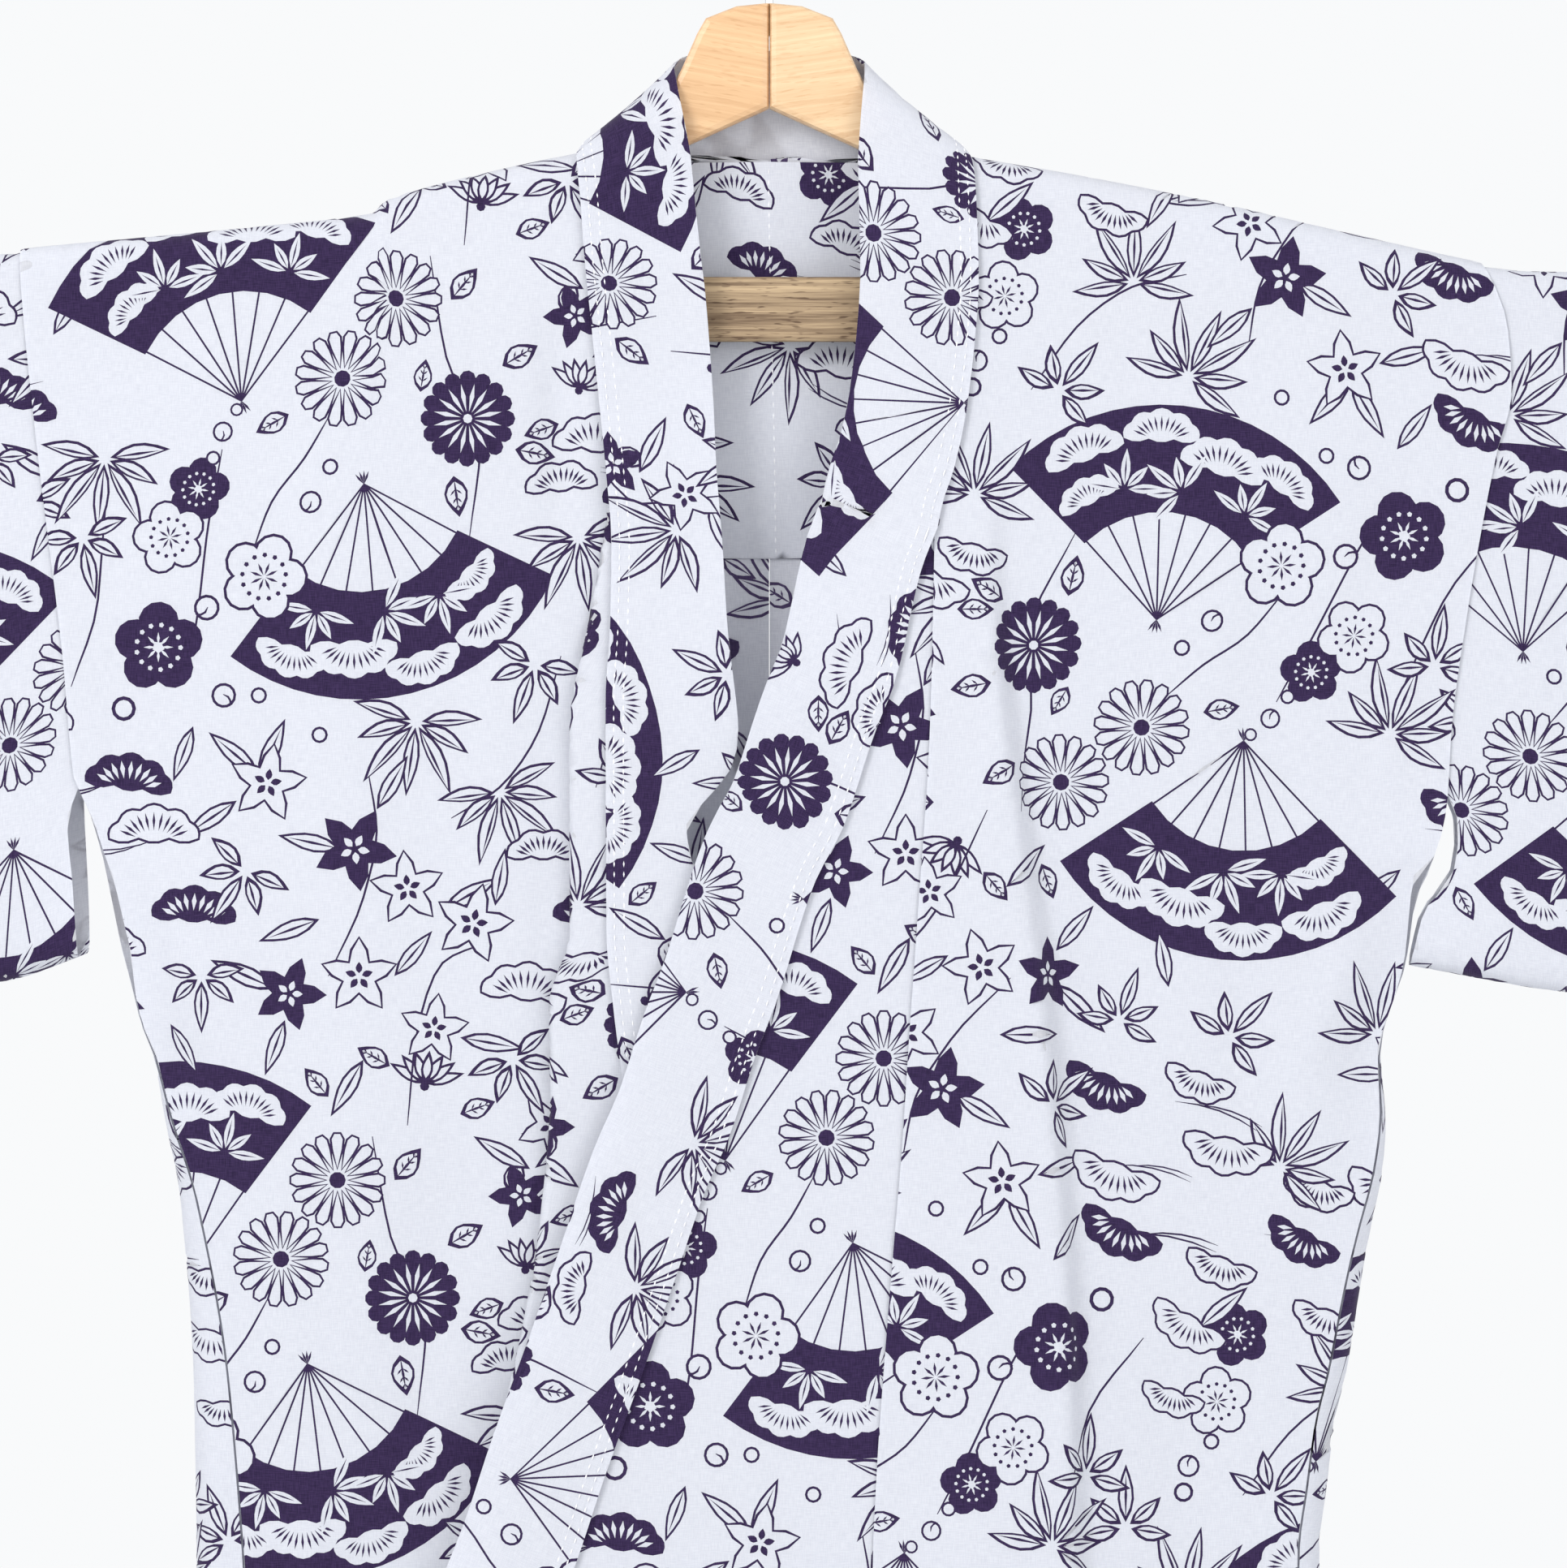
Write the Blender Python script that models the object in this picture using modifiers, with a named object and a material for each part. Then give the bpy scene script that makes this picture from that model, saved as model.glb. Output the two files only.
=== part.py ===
"""Cotton yukata robe hanging open at the neck on a wooden hanger.

The robe is cut from straight widths of cloth: two body lengths that run from the back hem over
the shoulder to the front hem, two overlaps, two sleeves, one long collar and a small yoke lining.
It hangs on a two-piece beech hanger whose arms rest on a long slat that fills the sleeves.

Tables are in millimetres, as |x| from the centre line, y towards the back and z up from the
crown of the hook. The front faces -Y and the wearer's left is +X. LEFT is the front that laps over.
"""
import math

import bmesh
import bpy
import numpy as np

MM = 0.001
LEFT, RIGHT = 1, -1
FRONT, BACK = 1, -1

# Driving sizes of the robe
HEM_Z = -1512.0
CLOTH = 1.2
LAP = 5.0
CUFF_X = 653.0
COLLAR_WIDTH = 54.0
COLLAR_THICK = 3.0
COLLAR_END_Z = -806.0
SEAM_PITCH = 1.5
NECK_PITCH = 2.9
CENTRE_GAP = 0.15

# How the cloth turns over the hanger and hangs
ROLL = 10.0
SLEEVE_ROLL = 8.5
HANG_DEPTH = 13.0
SIDE_ROLL = 13.0
SHOULDER_LEVEL = -142.0
LEVEL_FADE = 258.0
OVER_LIFT = 14.6
ARMHOLE_FOOT = -417.0
SIDE_FOOT = -543.0
SIDE_GAP = 1.0
NECK_SIDE_X = 87.0

# Where one part of the hanging cloth passes softly into the next: a start and a length
TURN_FADE = 60.0
SLEEVE_SIDE_X, SLEEVE_SIDE_FADE = 240.0, 60.0
SLEEVE_SIDE_FOOT, SLEEVE_FOOT_FADE = -470.0, 50.0
FOLD_LIMIT_X, FOLD_LIMIT_FADE = 205.0, 35.0
SEAM_FADE = 16.0
OPENING_TOP = -430.0
SIDE_JOIN_TOP, SIDE_JOIN_FADE = -495.0, 48.0
PULL_TOP, PULL_FADE, PULL_SHARE = -425.0, 40.0, 0.84
UNDER_SEAM_LAP = 1.0
SOLVE_ROUNDS = 7

# Sizes of the hanger
ARM_THICK = 12.0
ARM_ROUND = 3.0
ARM_TIP_X = 178.0
WIRE_RADIUS = 1.9
HOOK_RADIUS = 20.5
SHANK_FOOT = -77.0
SHANK_FIT = 0.3
SLAT_LENGTH = 1160.0
SLAT_THICK = 8.0
SLAT_HEIGHT = 29.5
SLAT_TOP = -187.3
SLAT_ROUND = 2.0
SHOULDER_XS = (104.0, 130.0, 155.0, 170.0)
TIP_ROUND = 3.0
TIP_FOOT = -183.5
HOLE_TOP = -50.0
CROWN_FROM, CROWN_TO = -50.0, 215.0
BEND_END = -54.0
BEND_PULL = 14.0


def columns(names, *rows):
    """A short table: one list of numbers for each named column."""
    return {name: np.array(values, float) for name, values in zip(names.split(), zip(*rows))}


# Height of the shoulder ridge, the middle of the cloth
RIDGE = {
    LEFT: columns("x z", (0, -121.6), (60, -122.5), (80, -128), (88, -131.5), (93, -132.6),
                  (138, -140.3), (204, -153.3), (260, -166.2), (330, -181.6), (345, -184)),
    RIGHT: columns("x z", (0, -121.6), (60, -122.5), (80, -127.5), (87, -130.6), (107, -134.6),
                   (170, -150.2), (176, -153), (182, -158.5), (240, -165), (343, -174.6),
                   (351, -175.5)),
}

# Seam where the collar is sewn on, down each front
COLLAR_SEAM = {
    LEFT: columns("z x", (-130, 92), (-151, 94.4), (-191, 95.5), (-214, 94), (-248.5, 90),
                  (-275, 84.4), (-293, 78.4), (-306, 75.9), (-320, 69.6), (-371, 57.7),
                  (-396, 48), (-440.5, 33), (-464, 20.7), (-518, 3.3), (-541, -5.5),
                  (-579, -18), (-605.5, -29.6), (-645, -43), (-691, -59), (-732, -74),
                  (-775, -88.4), (-806, -101)),
    RIGHT: columns("z x", (-128, 88.4), (-148, 86.6), (-177.5, 84.4), (-211, 81), (-244, 77.7),
                   (-276.6, 74.4), (-310, 71.8), (-348, 72.5), (-381, 74.4), (-487, 74),
                   (-520, 71), (-560, 66), (-617, 60), (-671, 55), (-708, 51), (-777, 40),
                   (-806, 35)),
}

# Inner edge of each front below the point where its overlap begins
FRONT_SEAM = {
    LEFT: columns("z x", (-306, 75.3), (-395, 72.9), (-485, 67), (-533, 63.6), (-584, 60.3),
                  (-633, 56.2), (-683, 52.2), (-732, 48.8), (-777, 47), (-1512, 45)),
    RIGHT: columns("z x", (-298, 69), (-325, 71.5), (-350, 74), (-395, 78), (-487, 78),
                   (-520, 79), (-560, 80), (-617, 81), (-671, 83), (-708, 84), (-777, 86),
                   (-1100, 88), (-1512, 90)),
}
OVERLAP_TOP = {LEFT: -296.0, RIGHT: -290.0}

# Outer edge of each front: the armhole, the side opening and the side seam
FRONT_EDGE = {
    LEFT: columns("z x", (-180, 326), (-210, 337), (-240, 339), (-269, 332), (-299, 326),
                  (-339.5, 319), (-395, 311.5), (-426.5, 309.7), (-443, 306.7), (-454, 303),
                  (-463, 294), (-484, 292), (-500, 290.5), (-511, 287.5), (-535, 282)),
    RIGHT: columns("z x", (-175, 342.6), (-195, 341.5), (-269, 334), (-358, 323),
                   (-417, 317.5), (-432, 310), (-450, 304), (-465, 299), (-483, 295),
                   (-498, 291.6), (-514, 289.7), (-530, 285.6)),
}

# Outer edge and silhouette of the back, and how much cloth wraps round to the front
BACK_EDGE = {
    LEFT: columns("z x", (-417, 310.3), (-426, 311), (-457, 304.5), (-471, 297.5),
                  (-501, 292.7), (-543, 279.7), (-575, 282), (-596, 280.5), (-620, 275.6),
                  (-639, 272), (-688, 264), (-709, 259), (-744, 254.6), (-768, 251.6),
                  (-1512, 250)),
    RIGHT: columns("z x", (-417, 317.5), (-432, 312.6), (-451, 307), (-475, 302), (-498, 297),
                   (-511, 293), (-528, 288.6), (-543, 282), (-575, 276), (-609, 269.4),
                   (-690, 263.4), (-777, 262), (-1512, 261)),
}
SIDE_WRAP = {
    LEFT: columns("z wrap", (-430, 0), (-480, 4.5), (-520, 13.6), (-543, 22.7), (-600, 31),
                  (-680, 36), (-777, 37.5)),
    RIGHT: columns("z wrap", (-430, 0), (-480, 4.5), (-520, 13.6), (-543, 22.7), (-600, 34),
                   (-680, 43), (-777, 49.8)),
}

# Back neckline on the turn of the shoulder, as a share of the front's neck edge
BACK_NECK = columns("turn share", (0, 1), (0.3, 1), (0.6, 0.9), (0.85, 0.6), (1, 0))

# Vertical fold where the over front steps up to cross the under front
STEP_FOLD = columns("z x", (-330, 104), (-376, 108), (-450, 118), (-543, 130), (-650, 137),
                    (-777, 141), (-1512, 146))
STEP_WIDTH = 12.0
STEP_SHARE = 0.25
STEP_OUTER_X = 240.0
CROSS_TOP = -240.0
CROSS_FADE = 150.0

# Long soft folds of the hanging cloth, from their upper to their lower end
FRONT_FOLDS = columns("x_high z_high x_low z_low width height",
                      (-100, -175, -97, -335, 8, -3.0),
                      (-205, -230, -180, -640, 26, 2.6),
                      (-150, -560, -165, -1512, 24, -4.0),
                      (-212, -700, -214, -1512, 18, 4.0),
                      (205, -250, 190, -620, 28, 2.4),
                      (196, -640, 204, -1512, 20, -3.6),
                      (90, -700, 96, -1512, 22, 3.4),
                      (-10, -860, -22, -1512, 28, 3.2),
                      (-66, -900, -72, -1512, 18, -2.6))
BACK_FOLDS = columns("x_high z_high x_low z_low width height",
                     (-190, -260, -150, -1512, 26, 3.6),
                     (-80, -330, -66, -1512, 30, -3.4),
                     (20, -420, 14, -1512, 28, 3.2),
                     (120, -300, 104, -1512, 30, -3.8),
                     (205, -420, 190, -1512, 20, 3.0))
FOLD_FADE = 90.0

# The under overlap is folded back on itself beside the under collar
PLEAT = columns("z x pitch", (-290, 73, 1.0), (-320, 77.5, 1.4), (-345, 82, 1.7),
                (-395, 90.7, 3.0), (-487, 90.7, 3.1), (-520, 100, 3.1), (-560, 99.5, 3.1),
                (-617, 104, 3.1), (-671, 113, 3.1), (-708, 121, 3.1), (-777, 127, 3.1),
                (-1100, 128, 3.1), (-1512, 130, 3.1))
UNDER_EDGE_HEM_X = 30.0
OVER_EDGE_X = columns("z x", (-800, -105), (-1512, -104))

# The collar round the neck, from the back to the shoulder's front, then its lift down each front
NECK_COLLAR = columns("x_left x_right turn drop free_left free_right free_y free_z",
                      (0, 0, 90, 5, 0, 0, 14, -82),
                      (32, 31, 90, 5, 24, 24, 13.5, -82),
                      (58, 55, 88, 4, 37, 37, 9.5, -84.5),
                      (75, 72, 70, 0, 42.5, 42, 3, -87.8),
                      (88, 84.5, 15, 0, 44, 43.5, -1.5, -91.4),
                      (92, 88, -40, 0, 43, 42, -9.2, -100.5),
                      (93.5, 87.8, -75, 0, 41.5, 38.5, -14, -118))
COLLAR_RISE = columns("z rise", (-148, 17), (-165, 10), (-185, 4), (-215, 0))
COLLAR_LIFT = {
    LEFT: columns("z lift", (-148, 2.8), (-312, 2.7), (-345, 1.0)),
    RIGHT: columns("z lift", (-148, 2.8), (-235, 2.7), (-290, 6.1), (-320, 6.9), (-345, 7.5),
                   (-395, 10.1), (-450, 10.3)),
}
UNDER_COLLAR_FREE = columns("z x", (-148, 36), (-181, 31.5), (-199, 29), (-244, 25.5),
                            (-276.6, 24), (-306.6, 21.5), (-348, 19), (-378, 15.5),
                            (-394, 14), (-408, 15.5), (-425, 27), (-438, 38), (-452, 36),
                            (-475, 24), (-500, 20), (-560, 12), (-671, 1), (-806, -19))

# Sleeves: ridge, bottom fold and the open inner edge below the armhole
SLEEVE_TOP = {
    LEFT: columns("x z", (325, -182.6), (345, -184.6), (364, -185.2), (420, -185.6),
                  (653, -185.6)),
    RIGHT: columns("x z", (335, -176), (343, -176.4), (400, -181), (470, -185.6),
                   (653, -185.6)),
}
SLEEVE_FOOT = {
    LEFT: columns("x z", (293, -502.3), (364, -514.5), (450, -522), (653, -526)),
    RIGHT: columns("x z", (312, -496.8), (351, -509.7), (450, -520), (653, -526)),
}
SLEEVE_MOUTH = {
    (LEFT, FRONT): columns("z x", (-417, 306), (-426, 311), (-440, 315), (-454, 313.8),
                           (-466, 310), (-475, 300), (-502, 293)),
    (RIGHT, FRONT): columns("z x", (-417, 312.5), (-424, 317), (-435, 320.8), (-445, 320.4),
                            (-461, 318.6), (-478, 317.5), (-491, 316.5)),
    (RIGHT, BACK): columns("z x", (-417, 312.5), (-424, 315), (-450, 313.8), (-473, 312.7),
                           (-499, 312)),
}
SLEEVE_MOUTH[LEFT, BACK] = SLEEVE_MOUTH[LEFT, FRONT]
CUFF_OPEN_FOOT = -385.0
CUFF_OPEN_FADE = 14.0
CUFF_SEWN_DEPTH = 0.75
CUFF_SEWN_X, CUFF_SEWN_FADE = 595.0, 50.0

# Yoke lining inside the back
LINING_X = 165.0
LINING_HEM = -315.5
LINING_DROP = 2.0
LINING_LONG = 200.0

# Outline of one hanger arm, top edge then lower edge
ARM_TOP = columns("x z", (0, -62), (15, -63.5), (29, -69), (33, -76), (40, -92), (45, -101.5),
                  (55, -111), (70, -124), (80, -131.5), (91, -136.5))
ARM_CLEARANCE = 2.3
ARM_FOOT = columns("x z", (176, -186.7), (100, -152), (41, -128.6), (0, -110))


# Curves and blends

def smooth(at, knots, values):
    """A monotone cubic curve through the knots, level beyond both ends."""
    order = np.argsort(knots)
    k, v = knots[order], values[order]
    width, slope = np.diff(k), np.diff(v) / np.diff(k)
    lean = np.zeros_like(v)
    lean[0], lean[-1] = slope[0], slope[-1]
    before, after = slope[:-1], slope[1:]
    same = before * after > 0
    w_before = (width[:-1] + 2 * width[1:])[same]
    w_after = (2 * width[:-1] + width[1:])[same]
    lean[1:-1][same] = (w_before + w_after) / (w_after / before[same] + w_before / after[same])
    at = np.clip(np.asarray(at, float), k[0], k[-1])
    i = np.clip(np.searchsorted(k, at, side="right") - 1, 0, len(width) - 1)
    t = (at - k[i]) / width[i]
    return (v[i] * (1 + 2 * t) * (1 - t) ** 2 + v[i + 1] * t * t * (3 - 2 * t)
            + width[i] * t * (1 - t) * (lean[i] * (1 - t) - lean[i + 1] * t))


def read(table, at, key="z", value="x"):
    """One column of a table as a smooth curve over another."""
    return smooth(at, table[key], table[value])


def step(t):
    """A soft step from 0 to 1."""
    t = np.clip(t, 0, 1)
    return t * t * (3 - 2 * t)


def lerp(a, b, t):
    return a + (b - a) * t


def ridge(x, side):
    return read(RIDGE[side], np.abs(x), "x", "z")


# Depth of the hanging cloth

def folds(table, x, z):
    """Height of the soft folds at a place on the cloth."""
    total = 0
    for x0, z0, x1, z1, width, height in zip(*table.values()):
        along = np.clip((z0 - z) / (z0 - z1), 0, 1)
        centre = lerp(x0, x1, along)
        begin = step((z0 - z) / FOLD_FADE)
        end = 1 if z1 == HEM_Z else step((z - z1) / FOLD_FADE)
        total = total + height * begin * end * np.exp(-((x - centre) / width) ** 2)
    return total


def hang_depth(x, z, side, face):
    """Distance of the body's cloth from the middle plane, below the turn of the shoulder."""
    upper = step((z - SLEEVE_SIDE_FOOT) / SLEEVE_FOOT_FADE)
    near_arm = step((np.abs(x) - SLEEVE_SIDE_X) / SLEEVE_SIDE_FADE)
    full = HANG_DEPTH - (HANG_DEPTH - ROLL) * upper * near_arm
    inward = 1 - step((np.abs(x) - FOLD_LIMIT_X) / FOLD_LIMIT_FADE)
    relief = folds(FRONT_FOLDS if face == FRONT else BACK_FOLDS, x, z) * inward
    below = ridge(x, side) - ROLL - z
    return ROLL + (full - ROLL + relief) * step(below / TURN_FADE)


def over_lift(x, z):
    """How far the over front stands out so that it clears the layers it crosses."""
    crossing = step((CROSS_TOP - z) / CROSS_FADE)
    centre = read(STEP_FOLD, z)
    raised = 1 - step((x - centre) / STEP_WIDTH + 0.5)
    fade = 1 - step((x - centre) / (STEP_OUTER_X - centre))
    return OVER_LIFT * crossing * (raised + (1 - raised) * STEP_SHARE * fade)


def front_depth(x, z, side):
    """Depth of the front cloth: the over front is lifted, the under front is not."""
    lift = over_lift(x, z) if side == LEFT else 0
    return hang_depth(x, z, side, FRONT) + lift


# Edges of the body lengths

def front_inner(z, side):
    """Inner edge of a front: under the collar above, along the overlap's seam below."""
    top = OVERLAP_TOP[side]
    under_collar = read(COLLAR_SEAM[side], np.maximum(z, top)) - LAP
    return lerp(under_collar, read(FRONT_SEAM[side], z), step((top - z) / SEAM_FADE + 0.5))


def back_end(z, side):
    """Side edge of the back: where its flat ends, its wrapped length, and its end's x and y."""
    wrap = read(SIDE_WRAP[side], z, "z", "wrap")
    edge = np.where(z > ARMHOLE_FOOT, read(FRONT_EDGE[side], z), read(BACK_EDGE[side], z))
    angle = np.minimum(wrap / SIDE_ROLL, math.pi)
    flat_end = edge - SIDE_ROLL * np.sin(np.minimum(angle, math.pi / 2))
    tail = np.maximum(wrap - math.pi * SIDE_ROLL, 0)
    end_x = flat_end + SIDE_ROLL * np.sin(angle) - tail
    end_y = hang_depth(side * flat_end, z, side, BACK) - SIDE_ROLL * (1 - np.cos(angle))
    return flat_end, wrap, end_x, end_y


def front_outer(z, side):
    """Side edge of a front: the armhole and opening, then the seam on the back's end."""
    end_x = back_end(z, side)[2]
    return lerp(read(FRONT_EDGE[side], z), end_x - SIDE_GAP, step((SIDE_JOIN_TOP - z) / SIDE_JOIN_FADE))


def side_edge_y(z, side):
    """y of a front's side edge, which swings back to meet the back's end below the opening."""
    foot_y = back_end(np.asarray(SIDE_FOOT), side)[3]
    opening = lerp(-ROLL, foot_y, step((OPENING_TOP - z) / (OPENING_TOP - SIDE_FOOT)))
    return np.where(z > SIDE_FOOT, opening, back_end(z, side)[3])


def hang_z(x, fall, side):
    """Height of the cloth at a distance below the turn; its levels follow the shoulder's slope."""
    lean = (ridge(x, side) - ROLL - SHOULDER_LEVEL) * (1 - step(fall / LEVEL_FADE))
    return SHOULDER_LEVEL - fall + lean


def body_point(side, face, across, down):
    """A point of a body length: across runs 0 to 1 from the inner to the side edge.

    down is the distance from the shoulder ridge in mm, round the turn and then straight down.
    """
    turn = np.clip(down / ROLL, 0, math.pi / 2)
    fall = np.maximum(down - ROLL * math.pi / 2, 0)
    x = 200 + 100 * across
    for _ in range(SOLVE_ROUNDS):
        turned_z = ridge(x, side) - ROLL * (1 - np.cos(turn))
        z = np.where(fall > 0, hang_z(x, fall, side), turned_z)
        if face == FRONT:
            x = lerp(front_inner(z, side), front_outer(z, side), across)
            continue
        neck = read(BACK_NECK, turn / (math.pi / 2), "turn", "share")
        flat_end, wrap, _, _ = back_end(z, side)
        inner = neck * front_inner(ridge(np.asarray(NECK_SIDE_X), side), side) + CENTRE_GAP
        along = lerp(inner, flat_end + wrap, across)
        bend = np.clip((along - flat_end) / SIDE_ROLL, 0, math.pi)
        tail = np.maximum(along - flat_end - math.pi * SIDE_ROLL, 0)
        x = np.minimum(along, flat_end) + SIDE_ROLL * np.sin(bend) - tail
    turned = ROLL * np.sin(turn)
    if face == FRONT:
        y = -front_depth(side * x, z, side)
        pull = (step((across - PULL_SHARE) / (1 - PULL_SHARE))
                * step((PULL_TOP - z) / PULL_FADE))
        y = lerp(y, side_edge_y(z, side), pull)
        y = np.where(fall > 0, y, -turned)
    else:
        flat_x = np.minimum(x, flat_end)
        y = hang_depth(side * flat_x, z, side, BACK) - SIDE_ROLL * (1 - np.cos(bend))
        y = np.where(fall > 0, y, turned)
    return side * x, y, z


# Overlaps

def over_overlap_point(across, z):
    """The over overlap: from under the collar's seam to under the over front's edge."""
    collar_side = np.where(z > COLLAR_END_Z, read(COLLAR_SEAM[LEFT], z) - LAP,
                           read(OVER_EDGE_X, z))
    x = lerp(collar_side, front_inner(z, LEFT) + LAP, across)
    return x, -(front_depth(x, z, LEFT) - SEAM_PITCH), z


def under_edge(z):
    """|x| of the under overlap's free edge, which runs under the collar's seam."""
    seam = read(COLLAR_SEAM[RIGHT], z) - LAP
    below = lerp(read(COLLAR_SEAM[RIGHT], np.asarray(COLLAR_END_Z)) - LAP, UNDER_EDGE_HEM_X,
                 np.clip((COLLAR_END_Z - z) / (COLLAR_END_Z - HEM_Z), 0, 1))
    return np.where(z > COLLAR_END_Z, seam, below)


def under_overlap_point(along, z):
    """The under overlap: along 0 to 1 out over the front, 1 to 2 round the fold, 2 to 3 back in."""
    seam_x, fold_x = read(FRONT_SEAM[RIGHT], z), read(PLEAT, z)
    pitch = read(PLEAT, z, "z", "pitch")
    middle = fold_x - pitch
    out = lerp(seam_x - UNDER_SEAM_LAP, middle, np.clip(along, 0, 1))
    back = lerp(middle, under_edge(z), np.clip(along - 2, 0, 1))
    angle = math.pi * np.clip(along - 1, 0, 1)
    x = np.where(along <= 1, out, np.where(along >= 2, back, middle + pitch * np.sin(angle)))
    lift = SEAM_PITCH + pitch * (1 - np.cos(angle))
    return -x, -(hang_depth(-x, z, RIGHT, FRONT) + lift), z


# Collar

def neck_stations(side, at):
    """Seam and free edge of the collar round the neck, at places 0 to 6 of its table."""
    place = np.arange(len(NECK_COLLAR["turn"]), dtype=float)
    names = ("left", "right")[side == RIGHT]
    x, turn, drop, free_x, free_y, free_z = (
        smooth(at, place, NECK_COLLAR[name])
        for name in ("x_" + names, "turn", "drop", "free_" + names, "free_y", "free_z"))
    turn = np.radians(turn)
    radius = ROLL + NECK_PITCH
    seam = (side * x, radius * np.sin(turn), ridge(x, side) - ROLL + radius * np.cos(turn) - drop)
    return seam, (side * free_x, free_y, free_z)


def front_stations(side, z):
    """Seam and free edge of the collar down one front, at the seam's heights."""
    x = side * read(COLLAR_SEAM[side], z)
    lift = read(COLLAR_LIFT[side], z, "z", "lift")
    rise = read(COLLAR_RISE, z, "z", "rise")
    if side == LEFT:
        slope = (read(COLLAR_SEAM[side], z + 3) - read(COLLAR_SEAM[side], z - 3)) / 6
        length = np.hypot(slope, 1)
        free_x, free_z = x - COLLAR_WIDTH / length, z + COLLAR_WIDTH * slope / length + rise
    else:
        free_x, free_z = -read(UNDER_COLLAR_FREE, z), z + rise
    seam = (x, -(front_depth(x, z, side) + lift), z)
    return seam, (free_x, -(front_depth(free_x, free_z, side) + lift), free_z)


# Sleeves

def sleeve_point(side, ring, along):
    """A point of a sleeve: ring 0 to 4 goes top, front, bottom, back; along 0 to 1 to the cuff."""
    quarter = np.floor(ring)
    part = ring - quarter
    arc = math.pi * (part - 0.5)
    top, front, bottom = quarter == 0, quarter == 1, quarter == 2
    share = np.where(top, 0, np.where(front, part, np.where(bottom, 1, 1 - part)))
    rise = np.where(top, np.cos(arc), np.where(bottom, -np.cos(arc), 0))
    lean = np.where(top, np.sin(arc), np.where(front, 1, np.where(bottom, -np.sin(arc), -1)))
    x = 330 + 320 * along
    for _ in range(SOLVE_ROUNDS):
        upper = read(SLEEVE_TOP[side], x, "x", "z") - SLEEVE_ROLL
        lower = read(SLEEVE_FOOT[side], x, "x", "z") + SLEEVE_ROLL
        z = lerp(upper, lower, share) + SLEEVE_ROLL * rise
        mouth = np.where(lean >= 0, read(SLEEVE_MOUTH[side, FRONT], z),
                         read(SLEEVE_MOUTH[side, BACK], z))
        inner = np.where(z > ARMHOLE_FOOT, read(FRONT_EDGE[side], z) - LAP, mouth)
        x = lerp(inner, CUFF_X, along)
    sewn = (step((x - CUFF_SEWN_X) / CUFF_SEWN_FADE)
            * step((CUFF_OPEN_FOOT - z) / CUFF_OPEN_FADE))
    depth = lerp(SLEEVE_ROLL, CUFF_SEWN_DEPTH, sewn)
    return side * x, -lean * depth, z


def lining_point(x, fall):
    """The yoke lining, just inside the back from the neck to its own straight hem."""
    z = np.where(x > 0, hang_z(x, fall, LEFT), hang_z(x, fall, RIGHT))
    z = np.maximum(z, LINING_HEM)
    depth = np.where(x > 0, hang_depth(x, z, LEFT, BACK), hang_depth(x, z, RIGHT, BACK))
    return x, depth - SEAM_PITCH, z


# Making Blender objects

def clear_scene():
    for thing in list(bpy.data.objects):
        bpy.data.objects.remove(thing, do_unlink=True)


def new_collection(name):
    collection = bpy.data.collections.new(name)
    bpy.context.scene.collection.children.link(collection)
    return collection


def side_name(name, side):
    return name + ("_right" if side == RIGHT else "_left")


def material(name, colour, roughness, metallic=0.0):
    finish = bpy.data.materials.new(name)
    finish.use_nodes = True
    shader = finish.node_tree.nodes["Principled BSDF"]
    shader.inputs["Base Color"].default_value = (*colour, 1)
    shader.inputs["Roughness"].default_value = roughness
    shader.inputs["Metallic"].default_value = metallic
    finish.diffuse_color = (*colour, 1)
    return finish


def add_object(name, mesh, collection, finish):
    piece = bpy.data.objects.new(name, mesh)
    collection.objects.link(piece)
    mesh.materials.append(finish)
    return piece


def cloth_panel(name, points, thick, collection, finish, closed=False):
    """A grid of points as one sheet of cloth; closed joins the first and last rows."""
    x, y, z = (np.broadcast_to(part, np.broadcast(*points).shape) for part in points)
    rows, cols = x.shape
    form = bmesh.new()
    bmesh.ops.create_grid(form, x_segments=cols - 1, y_segments=rows - 1, size=0.5)
    for vertex in form.verts:
        col = round((vertex.co.x + 0.5) * (cols - 1))
        row = round((vertex.co.y + 0.5) * (rows - 1))
        vertex.co = (x[row, col] * MM, y[row, col] * MM, z[row, col] * MM)
    if closed:
        bmesh.ops.remove_doubles(form, verts=form.verts, dist=1e-6)
    mesh = bpy.data.meshes.new(name)
    form.to_mesh(mesh)
    form.free()
    piece = add_object(name, mesh, collection, finish)
    wall = piece.modifiers.new("Wall", "SOLIDIFY")
    wall.thickness = thick * MM
    wall.offset = 0
    mesh.shade_smooth()
    return piece


def curve_mesh(name, curve, collection, finish):
    """A curve turned into a mesh with its caps welded."""
    guide = bpy.data.objects.new(name + "_curve", curve)
    collection.objects.link(guide)
    evaluated = guide.evaluated_get(bpy.context.evaluated_depsgraph_get())
    mesh = bpy.data.meshes.new_from_object(evaluated)
    bpy.data.objects.remove(guide, do_unlink=True)
    form = bmesh.new()
    form.from_mesh(mesh)
    bmesh.ops.remove_doubles(form, verts=form.verts, dist=1e-6)
    form.to_mesh(mesh)
    form.free()
    mesh.materials.clear()
    piece = add_object(name, mesh, collection, finish)
    mesh.shade_smooth()
    mesh.set_sharp_from_angle(angle=math.radians(35))
    return piece


# The pieces

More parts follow.
